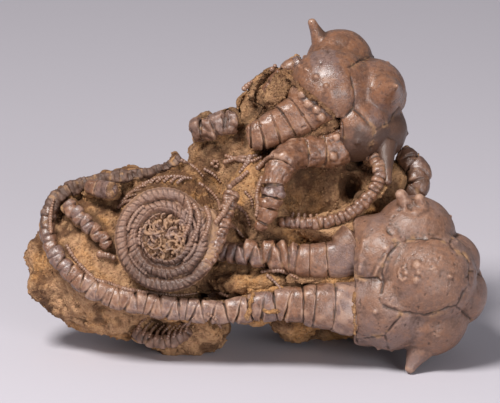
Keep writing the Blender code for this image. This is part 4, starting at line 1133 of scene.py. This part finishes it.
# Stains on the face: x, z, radius and strength. The four in the hollow between the cups are painted shade
ROCK_STAINS_AND_SHADE = (
    (9.0, 79.0, 6.0, 0.9), (6.0, 83.0, 4.5, 0.85), (3.5, 73.0, 5.0, 0.9), (-20.0, 60.0, 6.0, 0.5),
    (-3.0, 41.0, 7.0, 0.5), (-12.0, 27.5, 6.5, 0.75), (3.0, 25.0, 8.0, 0.35), (14.0, 55.5, 8.0, 0.95),
    (22.5, 56.5, 7.5, 0.95), (17.5, 50.5, 8.0, 0.7), (27.0, 52.0, 4.5, 0.85),
)
STONE_OCHRE = (0.53, 0.265, 0.10)
STONE_TAN = (0.49, 0.275, 0.148)
STONE_BROWN = (0.088, 0.037, 0.018)
STONE_SHADE = (0.205, 0.10, 0.046)
STONE_PALE_GRAIN = (0.50, 0.31, 0.16)
STONE_DARK_GRAIN = (0.115, 0.054, 0.026)
STONE_WORN = (0.44, 0.255, 0.125)
# The crease colour is dirt and painted shade
STONE_CREASE = (0.08, 0.044, 0.023)
STONE_PIT = (0.06, 0.035, 0.02)
# The arms that lie in the stone's face
ARMS_ON_FACE = (
    "front_arm_ossicles", "middle_arm_ossicles", "inner_arm_ossicles", "arm_stub_ossicles",
    "under_arm_ossicles", "front_arm_far_end", "left_arm_ossicles", "hanging_arm_ossicles",
    "top_arm_ossicles", "looped_arm_ossicles", "broken_arm_ossicles", "rear_arm_ossicles",
)


def tube_shape(rows, sides=12):
    """A plain closed tube along a route, as a bed for an arm."""
    ends_at = [(0.0, 0.0), (smooth_route(rows, ROUTE_STEP)[1][-1], 0.0)]
    shares = tuple(np.linspace(0, 1, 1 + 2 * len(rows), endpoint=False))
    plain = np.zeros(2)
    points, quads, ends, *_ = arm_shape(rows, ends_at, sides, shares, 0.0, 0.0, plain, plain)
    return points, [*quads.tolist(), *ends]


def patch(points, x, z, wide, tall):
    """1 in the middle of a patch of the face, fading out over that half width and half height."""
    return np.exp(-(((points[:, 0] - x) / wide) ** 2) - ((points[:, 2] - z) / tall) ** 2)


def sandstone_material():
    """Crumbly stone: ochre and tan grains in patches, brown where iron has stained it and where brown is
    painted shade, dark in its pits, and darker in its creases, partly dirt and partly painted shade.
    """
    material, tree, shader = new_material("sandstone")
    age = weathered(tree, 0.014, 0.0026, 0.00042, 0.9)
    mottle, speckle = age["Mottle"], age["Speckle"]
    crest, stain = painted_values(tree, "crest", "stain")
    colour = layered(tree, STONE_TAN, (
        (age["Patches"], 0.42, 0.62, 0.0, 1.0, STONE_OCHRE), (mottle, 0.54, 0.40, 0.0, 0.45, STONE_SHADE),
    ))
    colour = blended(tree, stain, colour, STONE_BROWN)
    clean = ramp(tree, stain, 0.1, 0.9, 1.0, 0.25)
    pale_grains = sums(tree, "MULTIPLY", ramp(tree, speckle, 0.45, 1.0, 0.0, 0.42), clean)
    colour = blended(tree, pale_grains, colour, STONE_PALE_GRAIN)
    # Crests paler as wear, creases darker as dirt and painted shade
    colour = layered(tree, colour, (
        (speckle, 0.40, 0.0, 0.0, 0.4, STONE_DARK_GRAIN), (crest, 0.1, 0.9, 0.0, 0.4, STONE_WORN),
        (crest, 0.0, -0.8, 0.0, 0.55, STONE_CREASE),
    ))
    colour = blended(tree, sums(tree, "MULTIPLY", age["Pits"], 0.35), colour, STONE_PIT)
    roughness = ramp(tree, mottle, 0.3, 0.7, 0.95, 0.78)
    finish_with(tree, shader, {
        "Base Color": colour, "Roughness": roughness, "Specular IOR Level": 0.25,
    }, bump_strength=1.0, bump_distance=0.0006, relief=age["Relief"])
    return material


sandstone = sandstone_material()
shapes = []
for name in ARMS_ON_FACE:
    for back, wide in ROCK_BEDS:
        bed = [(x, y + back * w, z, max(THINNEST_BED, wide * w)) for x, y, z, w in arm_routes[name]]
        shapes.append(tube_shape(bed))
round_points, round_faces = ball(4)
for x, y, z, *half in ROCK_LUMPS:
    shapes.append((round_points * half + (x, y, z), round_faces))
rock, rock_quads = grown_together(shapes, ROCK_GRAIN)
rock = levelled(rock, rock_quads, 3)
normals = outward(rock, rock_quads)
swell = np.array([noise.fractal(Vector(p) / ROCK_SWELL_SIZE, 1.0, 2.0, 3) for p in rock])
rock += normals * (ROCK_SWELL * swell)[:, None]
for x, z, radius, depth in ROCK_HOLLOWS:
    off = np.hypot(rock[:, 0] - x, rock[:, 2] - z) / radius
    rock[:, 1] += np.maximum(0, -normals[:, 1]) * depth * np.exp(-(off**2))
edge_x, edge_z = np.array(ROCK_EDGE).T
off = np.interp(rock[:, 2], edge_z, edge_x) - rock[:, 0] + 1.6 * ripple(rock, 3.0, 2, seed=63)
above = fade(rock[:, 2], edge_z[0], edge_z[0] + 4.0)
rock[:, 1] += ROCK_STEP * fade(off, 0.0, 1.4) * above * fade(-normals[:, 1], 0.0, 0.4)

# The stone is chipped and crumbly at every size
normals = outward(rock, rock_quads)
calm = np.max([share * patch(rock, x, z, wide, tall) for x, z, wide, tall, share in ROCK_CALM], axis=0)
calm *= fade(-rock[:, 1], -8, -4)
broken = 1 - 0.8 * calm
lumpy = 0.7 * ripple(rock, 6.0, 3, seed=41)
lumpy += broken * (1.9 * chips(rock, 5.2, 1) + 1.2 * chips(rock, 2.5, 2))
lumpy += (0.3 + 0.4 * broken) * chips(rock, 1.4, 3)
lumpy -= 0.8 * broken * fade(ripple(rock, 2.6, 2, seed=47), 0.30, 0.5)
rock += normals * lumpy[:, None]

# It is picked back to a bank at the middle of each arm that lies in it, and under the coil
arm_spots = [spot for name in ARMS_ON_FACE if name != "top_arm_ossicles"
             for spot in smooth_route(arm_routes[name], 0.8)[0]]
along_arms = KDTree(len(arm_spots))
for k, spot in enumerate(arm_spots):
    along_arms.insert((spot[0], spot[2], 0), k)
along_arms.balance()
for k, point in enumerate(rock):
    if point[1] > PICKED_DEPTH:
        continue
    _, index, _ = along_arms.find((point[0], point[2], 0))
    x, y, z, width = arm_spots[index]
    off = math.hypot(point[0] - x, point[2] - z) / (width / 2)
    rise = min(1.0, max(0.0, (off - 0.95) / 0.3))
    buried = 0.6 if x < -18 and z > 43 else 0.0
    bank = y + width / 2 * (0.25 - buried - 0.8 * rise * rise * (3 - 2 * rise))
    if off < PICKED_REACH and y - 14 < point[1] < bank:
        share = min(1.0, (PICKED_REACH - off) / 0.25)
        rock[k, 1] += (bank - point[1]) * share * share * (3 - 2 * share)
off = np.hypot(rock[:, 0] - COIL_AT[0], rock[:, 2] - COIL_AT[2])
bed = COIL_AT[1] + COIL_WIDTHS[0] * 0.5
floor = bed - 6 * fade(off, COIL_BED_RADIUS - 1, COIL_BED_RADIUS + 2)
in_bed = (rock[:, 1] < bed + 1.5) & (off < COIL_BED_RADIUS + 2)
rock[:, 1] = np.where(in_bed, np.maximum(rock[:, 1], floor), rock[:, 1])
rock[:, 2] += np.maximum(0, -over_table(rock)[:, 2]) / math.cos(LEAN)

# Crest values: edges paler as wear, creases darker as dirt and painted shade
crest = crests(rock, rock_quads, 2) * 0.6 + crests(rock, rock_quads, 8) * 0.6
stain = fade(ripple(rock, 11.0, 3, seed=53), 0.12, 0.32) * 0.8
stain = np.maximum(stain, 0.9 * fade(outward(rock, rock_quads)[:, 2], 0.15, 0.6) * fade(-rock[:, 0], -4, 10))
stain *= 1 - patch(rock, *STAIN_FREE) * (rock[:, 1] < 8)
# The listed stains, among them the painted shade in the hollow between the cups
for x, z, wide, share in ROCK_STAINS_AND_SHADE:
    spot = patch(rock, x, z, wide, wide) * (rock[:, 1] < 10)
    stain = np.maximum(stain, share * spot * (1 + 0.7 * ripple(rock, 2.5, 2, seed=65)))
stain = np.clip(stain, 0, 0.95)
stone = add_piece("sandstone_lump", rock, rock_quads, sandstone, "sandstone", crest=np.clip(crest, -1, 1),
                  stain=stain)
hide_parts("rock")
skins["sandstone_lump"] = (rock, rock_quads)

# Stone left between the fossils
# Crumbly remains of the stone fill the joint between the two lower arms, the seats of the arms on both cups
# and the gaps between some ossicles, where the preparer's needle didn't reach.
REMAINS_GRAIN = 0.42
# Each strip of it, as x, y, z and width at points along it
REMAINS = (
    ((27.6, -13.6, 26.4, 3.4), (20.0, -14.2, 26.3, 3.4), (14.0, -14.0, 26.5, 3.2), (9.0, -13.6, 26.6, 3.0)),
    ((27.5, -17.2, 24.8, 1.1), (27.5, -19.6, 21.5, 1.4), (27.5, -20.2, 18.0, 1.5), (27.5, -19.8, 14.5, 1.3),
     (27.5, -17.2, 11.4, 1.0)),
    ((27.5, -15.0, 38.0, 1.0), (27.5, -17.4, 34.0, 1.1), (27.5, -16.2, 29.0, 1.1)),
    ((-0.4, -17.3, 22.6, 1.2), (-1.4, -18.5, 19.0, 1.5), (-2.4, -17.3, 15.0, 1.2)),
    ((1.8, -18.6, 17.9, 1.4), (5.0, -19.2, 17.6, 1.7), (7.6, -18.8, 17.9, 1.1)),
    ((9.4, -16.5, 23.6, 1.6), (4.0, -15.6, 23.4, 2.0), (-2.0, -14.6, 22.8, 2.0)),
    ((8.0, -6.4, 84.2, 1.6), (11.0, -9.4, 81.2, 1.7), (14.1, -11.8, 78.2, 1.7), (17.2, -12.6, 76.2, 1.6),
     (20.2, -12.4, 73.8, 1.4), (22.0, -11.2, 71.4, 1.0)),
    ((8.6, -9.4, 67.2, 1.2), (12.4, -8.4, 65.6, 2.0), (16.6, -7.4, 66.8, 3.0), (21.0, -8.2, 69.2, 3.4),
     (23.4, -7.6, 70.4, 2.6)),
)
points, quads = grown_together([tube_shape(rows) for rows in REMAINS], REMAINS_GRAIN)
crumbly = 1.3 * chips(points, 1.6, 5) + 0.6 * ripple(points, 2.4, 3, seed=61)
points += outward(points, quads) * crumbly[:, None]
remains_stain = 0.3 + 0.45 * fade(points[:, 2], 55, 65) + 0.6 * ripple(points, 3.0, 2, seed=69)
remains_stain = np.clip(remains_stain, 0, 0.9)
# Its creases are painted darker, as dirt and painted shade
add_piece("stone_remains", points, quads, sandstone, "sandstone", crest=0.6 * crests(points, quads, 3) - 0.1,
          stain=remains_stain)
skins["stone_remains"] = (points, quads)

# Pinnules
# The arms' fine side branches, strewn over the stone as strings of tiny beads. Each string is drawn on the
# face, laid on what it crosses, and beaded by one node tree.
BEAD_SIZES = {"Bead Spacing": 0.00078, "Bead Length": 0.95, "Unevenness": 0.16, "Wear": 0.6}
# Each string: points along it as x and z seen face on, then how thick it is
STRINGS = (
    (((-8.4, 59.1), (-4.8, 60.2), (-1.4, 60.5), (0.3, 61.0)), 0.46),
    (((-8.1, 60.8), (-4.2, 59.6), (-0.8, 59.4), (1.6, 60.4)), 0.42),
    (((-1.4, 60.5), (-2.8, 58.0), (-4.2, 56.3)), 0.5),
    (((-7.0, 52.1), (-4.8, 54.0), (-2.2, 56.3)), 0.56),
    (((-9.0, 44.5), (-7.8, 46.8), (-6.2, 49.0)), 0.56),
    (((0.8, 57.4), (2.8, 59.4), (4.8, 61.0)), 0.5),
    (((2.0, 54.6), (0.8, 51.2), (0.6, 49.0), (0.8, 47.0), (0.3, 44.2)), 0.5),
    (((2.0, 28.3), (4.8, 28.7), (7.8, 28.4), (11.8, 26.6)), 0.42),
    (((3.6, 27.2), (5.4, 25.6), (7.0, 23.8)), 0.36),
    (((-52.7, 35.6), (-50.9, 32.6), (-49.6, 30.9)), 0.44),
    (((-49.0, 30.2), (-46.8, 28.0), (-44.6, 26.2)), 0.46),
    (((-44.0, 25.8), (-40.3, 24.8), (-37.0, 23.7), (-32.8, 22.9), (-25.8, 22.1)), 0.46),
    (((-43.4, 33.3), (-41.2, 32.9), (-39.6, 32.3)), 0.7),
    (((-25.0, 22.0), (-21.3, 21.7), (-16.2, 22.4)), 0.36),
    (((-12.7, 21.6), (-10.6, 22.5), (-7.8, 21.5)), 0.4),
    (((-57.2, 39.5), (-57.3, 44.0), (-56.4, 48.4)), 0.4),
    (((-19.0, 48.4), (-18.0, 45.0), (-18.4, 41.8), (-19.8, 38.4)), 0.5),
    (((-17.0, 47.0), (-15.7, 44.0), (-16.0, 40.6), (-17.6, 37.2)), 0.46),
    (((-13.7, 46.2), (-12.8, 43.4), (-13.4, 40.0), (-14.8, 37.2)), 0.48),
    (((-10.9, 42.3), (-8.8, 45.0), (-7.2, 47.6)), 0.5),
    (((-15.4, 53.0), (-12.6, 51.0), (-10.4, 48.4), (-9.8, 45.8)), 0.4),
    (((-4.5, 46.5), (-2.5, 44.5), (-1.5, 41.5)), 0.38),
    (((-7.5, 42.0), (-5.2, 40.2), (-3.4, 38.2)), 0.4),
    (((-2.6, 50.6), (-1.0, 48.6), (-0.6, 46.4)), 0.34),
    (((-14.0, 57.0), (-11.6, 55.6), (-9.8, 53.4)), 0.34),
    (((-20.5, 59.5), (-17.0, 57.6), (-14.6, 55.2)), 0.32),
    (((10.6, 44.6), (10.2, 43.2)), 0.3), (((12.2, 44.4), (12.0, 42.8)), 0.3),
    (((13.9, 44.2), (13.9, 42.6)), 0.3), (((15.6, 44.0), (15.8, 42.4)), 0.3),
    (((17.3, 44.2), (17.8, 42.8)), 0.3),
    (((-13.0, 16.4), (-11.0, 15.0), (-9.6, 12.8)), 0.34),
    (((4.8, 85.0), (5.6, 86.0)), 0.5), (((6.8, 86.2), (7.6, 87.0)), 0.5),
    (((-3.0, 79.6), (-1.0, 81.6)), 0.5),
    (((-12.0, 58.6), (-11.2, 59.5), (-10.3, 58.7), (-11.1, 57.6), (-12.0, 58.6)), 0.34),
)
# A fan of pinnules that slants over the coil's upper side, and one above the arm under the foot
for share in np.linspace(0, 1, 11):
    turn = math.radians(148 - 72 * share)
    x, z = COIL_AT[0] + 15.2 * math.cos(turn), COIL_AT[2] + 15.4 * math.sin(turn)
    STRINGS += ((((x - 0.4, z), (x + 1.2, z + 1.3), (x + 3.3, z + 1.9 - 0.6 * share)), 0.36),)
for share in np.linspace(0, 1, 9):
    x, z = -33.0 + 13.5 * share, 9.6 + 2.2 * (2 * share - 1) ** 2
    STRINGS += ((((x, z), (x + 0.8, z + 2.0), (x + 2.4, z + 3.6)), 0.3),)


def seen_surfaces():
    """All the pieces' skins as one tree of faces to drop things on."""
    points, faces, count = [], [], 0
    for skin, quads in skins.values():
        points.append(skin)
        faces.append(quads + count)
        count += len(skin)
    return BVHTree.FromPolygons(np.concatenate(points).tolist(), np.concatenate(faces).tolist())


def draped(line, lift, surfaces, spacing=0.35):
    """A line of the face laid on whatever is seen there, as evenly spaced points of the specimen's frame."""
    rows = np.array([(x, 0.0, z) for x, z in line])
    if len(rows) > 2:
        route = smooth_route(rows, spacing)[0]
    else:
        run = rows[-1] - rows[0]
        route = rows[0] + np.linspace(0, 1, max(3, int(np.linalg.norm(run) / spacing)))[:, None] * run
    depths = []
    for x, _, z in route:
        sight = unit(np.array((x, 0.0, z)) - SEEN_FROM)
        hit, *_ = surfaces.ray_cast(Vector(SEEN_FROM), Vector(sight))
        depths.append(hit.y if hit is not None else np.nan)
    depths = np.array(depths)
    if np.isnan(depths).all():
        return None
    depths = np.where(np.isnan(depths), np.nanmedian(depths), depths)
    for _ in range(6):
        beside = np.pad(depths, 1, mode="edge")
        mean = (beside[:-2] + depths + beside[2:]) / 3
        depths = np.minimum(depths, mean) * 0.6 + mean * 0.4
    depths -= lift
    grown = (SEEN_FROM[1] - depths) / SEEN_FROM[1]
    middle = SEEN_FROM[[0, 2]]
    return np.column_stack([(route[:, 0] - middle[0]) * grown + middle[0], depths,
                            (route[:, 2] - middle[1]) * grown + middle[1]])


def piece_tree(name, sizes):
    """A new node tree with those sizes as inputs, and the sockets that give them."""
    tree = bpy.data.node_groups.new(name, "GeometryNodeTree")
    tree.interface.new_socket("Geometry", in_out="OUTPUT", socket_type="NodeSocketGeometry")
    tree.interface.new_socket("Geometry", in_out="INPUT", socket_type="NodeSocketGeometry")
    for key, value in sizes.items():
        tree.interface.new_socket(key, in_out="INPUT", socket_type="NodeSocketFloat").default_value = value
    return tree, tree.nodes.new("NodeGroupInput").outputs


def chance(tree, kind, seed, low, high):
    """A random value of that kind at each point, from low to high, always the same for the same seed."""
    dice = add_node(tree, "FunctionNodeRandomValue", {"Seed": seed}, data_type=kind)
    for key, value in (("Min", low), ("Max", high)):
        socket = next(socket for socket in dice.inputs if socket.name == key and socket.enabled)
        if isinstance(value, bpy.types.NodeSocket):
            tree.links.new(value, socket)
        else:
            socket.default_value = value
    return next(socket for socket in dice.outputs if socket.enabled)


def painted_in(tree, geometry, name, value):
    """Geometry with a painted value at each point."""
    painted = add_node(tree, "GeometryNodeStoreNamedAttribute", {
        "Geometry": geometry, "Name": name, "Value": value}, data_type="FLOAT", domain="POINT")
    return painted.outputs["Geometry"]


def given_value(tree, name):
    """The value that is painted on the given mesh under that name."""
    painted = add_node(tree, "GeometryNodeInputNamedAttribute", {"Name": name}, data_type="FLOAT")
    return painted.outputs["Attribute"]


def made_real(tree, instances):
    """Instances made into plain geometry."""
    return add_node(tree, "GeometryNodeRealizeInstances", {"Geometry": instances}).outputs["Geometry"]


def dressed_in(tree, geometry, material):
    """The end of a tree: the geometry in its material."""
    dressed = add_node(tree, "GeometryNodeSetMaterial", {"Geometry": geometry, "Material": material})
    add_node(tree, "NodeGroupOutput", {"Geometry": dressed.outputs["Geometry"]})


def string_tree(material):
    """Lines to strings of beads: each line is cut at even steps, with a bead along it at each cut."""
    tree, given = piece_tree("bead_strings", {
        "Bead Spacing": 0.0006, "Bead Length": 0.8, "Unevenness": 0.14, "Wear": 0.0})
    line = add_node(tree, "GeometryNodeMeshToCurve", {"Mesh": given["Geometry"]})
    cuts = add_node(tree, "GeometryNodeResampleCurve", mode="LENGTH")
    tree.links.new(line.outputs["Curve"], cuts.inputs["Curve"])
    tree.links.new(given["Bead Spacing"], cuts.inputs["Length"])
    bead = add_node(tree, "GeometryNodeMeshIcoSphere", {"Radius": 1.0, "Subdivisions": 2})
    smooth = add_node(tree, "GeometryNodeSetShadeSmooth", {"Geometry": bead.outputs["Mesh"]})
    tangent = add_node(tree, "GeometryNodeInputTangent").outputs["Tangent"]
    turned = add_node(tree, "FunctionNodeAlignRotationToVector", {"Vector": tangent}, axis="Z")
    low = sums(tree, "SUBTRACT", 1.0, given["Unevenness"])
    high = sums(tree, "ADD", 1.0, given["Unevenness"])
    wide = sums(tree, "MULTIPLY", given_value(tree, "girth"), chance(tree, "FLOAT", 3, low, high))
    long = sums(tree, "MULTIPLY", wide, given["Bead Length"])
    size = add_node(tree, "ShaderNodeCombineXYZ", {"X": wide, "Y": wide, "Z": long})
    beads = add_node(tree, "GeometryNodeInstanceOnPoints", {
        "Points": cuts.outputs["Curve"], "Instance": smooth.outputs["Geometry"],
        "Rotation": turned.outputs["Rotation"], "Scale": size.outputs["Vector"]})
    worn = painted_in(tree, made_real(tree, beads.outputs["Instances"]), "crest", given["Wear"])
    dressed_in(tree, worn, material)
    return tree


def grown_by(tree, name, base, sizes):
    """What a node tree makes of a mesh, as a plain piece that rides on the specimen."""
    thing = placed(name, base)
    maker = thing.modifiers.new("maker", "NODES")
    maker.node_group = tree
    for item in tree.interface.items_tree:
        if item.in_out == "INPUT" and item.name in sizes:
            maker[item.identifier] = sizes[item.name]
    made = worked_out(thing)
    thing.modifiers.clear()
    thing.data = made
    made.name = name
    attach(thing, "root")


surfaces = seen_surfaces()
spots, edges, girths = [], [], []
for line, girth in STRINGS:
    route = draped(line, 1.1 * girth, surfaces)
    if route is None:
        continue
    edges += [(len(spots) + k, len(spots) + k + 1) for k in range(len(route) - 1)]
    spots += list(route)
    taper = 1 - 0.35 * np.linspace(0, 1, len(route)) ** 2
    girths += list(1.6 * girth * MM * taper)
lines = bpy.data.meshes.new("pinnule_lines")
lines.from_pydata(laid(spots), edges, [])
paint(lines, {"girth": girths})
grown_by(string_tree(calcite), "pinnules", lines, BEAD_SIZES)

# Loose grains
# Grains and crumbs of the stone, from a quarter of a millimetre to a little over one across. One node tree
# strews them over the stone's skin, more of them where it is sandy, and over the stone left between the
# fossils.
FULL_TURN = 6.2832


def grain_tree(material):
    """A skin to the grains that lie on it, as many as its gritty value asks for."""
    tree, given = piece_tree("grains", {"Density": 1e6, "Smallest": 0.0001, "Largest": 0.0004})
    density = sums(tree, "MULTIPLY", given_value(tree, "gritty"), given["Density"])
    strewn = add_node(tree, "GeometryNodeDistributePointsOnFaces", {
        "Mesh": given["Geometry"], "Seed": 5, "Density": density})
    points = painted_in(tree, strewn.outputs["Points"], "crest", chance(tree, "FLOAT", 11, -0.5, 0.9))
    grain = add_node(tree, "GeometryNodeMeshIcoSphere", {"Radius": 1.0, "Subdivisions": 1})
    share = chance(tree, "FLOAT", 7, 0.0, 1.0)
    size = add_node(tree, "ShaderNodeMapRange", {
        0: sums(tree, "MULTIPLY", share, share), 1: 0.0, 2: 1.0, 3: given["Smallest"], 4: given["Largest"]})
    flat = chance(tree, "FLOAT_VECTOR", 13, (0.55, 0.55, 0.55), (1.25, 1.25, 1.25))
    scale = add_node(tree, "ShaderNodeVectorMath", {0: flat}, operation="SCALE")
    tree.links.new(size.outputs[0], scale.inputs["Scale"])
    turned = chance(tree, "FLOAT_VECTOR", 17, (0.0, 0.0, 0.0), (FULL_TURN, FULL_TURN, FULL_TURN))
    grains = add_node(tree, "GeometryNodeInstanceOnPoints", {
        "Points": points, "Instance": grain.outputs["Mesh"], "Rotation": turned, "Scale": scale.outputs[0]})
    dressed_in(tree, made_real(tree, grains.outputs["Instances"]), material)
    return tree


grains = grain_tree(sandstone)


def strewn_on(name, points, quads, gritty, stain, **sizes):
    """Grains strewn over a skin, stained and painted with shade as the skin is."""
    skin = bpy.data.meshes.new("skin")
    skin.from_pydata(laid(points), [], quads.tolist())
    paint(skin, {"gritty": gritty, "stain": 0.8 * stain})
    grown_by(grains, name, skin, sizes)


gritty = fade(ripple(rock, 7.0, 3, seed=67), -0.15, 0.3) * fade(-outward(rock, rock_quads)[:, 1], -0.3, 0.4)
*sandy, grittier = SANDY_PATCH
gritty += grittier * patch(rock, *sandy) * (rock[:, 1] < 8)
gritty = (gritty + 0.12) * (over_table(rock)[:, 2] > 1.2)
strewn_on("stone_grains", rock, rock_quads, gritty, stain, Density=5.5e5, Smallest=0.00014, Largest=0.00062)
points, quads = skins["stone_remains"]
strewn_on("remains_grains", points, quads, np.ones(len(points)), remains_stain, Density=1.6e6,
          Smallest=0.00012, Largest=0.0004)

# The table, the light and the camera
# A plain pale table, a soft light above and to the left of the specimen, and a weaker, lower one at its
# right. The camera looks square at the specimen's face.
SENSOR, WIDTH_SEEN = 36.0, 140.0
NEAREST_SEEN, FARTHEST_SEEN = 0.05, 50.0
TABLE_LILAC = (0.505, 0.482, 0.530, 1.0)
TABLE_REACH = 6
# Each light's name, place, aim, size, power and colour
LIGHTS = (
    ("key_light", (-0.40, -0.52, 0.93), (0, 0, 0.03), 0.36, 17.0, (1.0, 0.975, 0.95)),
    ("fill_light", (0.48, -0.92, 0.24), (0, 0, 0.04), 0.5, 5.6, (0.98, 0.98, 1.0)),
)
ROOM_COLOUR, ROOM_STRENGTH = (0.80, 0.79, 0.84, 1.0), 0.28

camera = placed("camera", bpy.data.cameras.new("camera"))
camera.location = laid([SEEN_FROM])[0]
camera.rotation_euler = (math.pi / 2 - LEAN, 0, 0)
camera.data.sensor_width = SENSOR
camera.data.lens = SENSOR * -SEEN_FROM[1] / WIDTH_SEEN
camera.data.clip_start, camera.data.clip_end = NEAREST_SEEN, FARTHEST_SEEN
bpy.context.scene.camera = camera

table_material, _, table_shader = new_material("pale_table")
table_shader.inputs["Base Color"].default_value = TABLE_LILAC
table_shader.inputs["Roughness"].default_value = 0.85
table_mesh = bpy.data.meshes.new("table")
table_corners = [(x * TABLE_REACH, y * TABLE_REACH, 0) for x, y in ((-1, -1), (1, -1), (1, 1), (-1, 1))]
table_mesh.from_pydata(table_corners, [], [(0, 1, 2, 3)])
table_mesh.materials.append(table_material)
placed("table", table_mesh)

for name, place, aim, size, power, colour in LIGHTS:
    light = bpy.data.lights.new(name, "AREA")
    light.shape = "DISK"
    light.size, light.energy, light.color = size, power, colour
    lamp = placed(name, light)
    lamp.location = place
    lamp.rotation_euler = (Vector(aim) - Vector(place)).to_track_quat("-Z", "Y").to_euler()
world = bpy.data.worlds.new("studio")
bpy.context.scene.world = world
world.use_nodes = True
room = world.node_tree.nodes["Background"]
room.inputs["Color"].default_value = ROOM_COLOUR
room.inputs["Strength"].default_value = ROOM_STRENGTH
bpy.context.scene.view_settings.view_transform = "Standard"
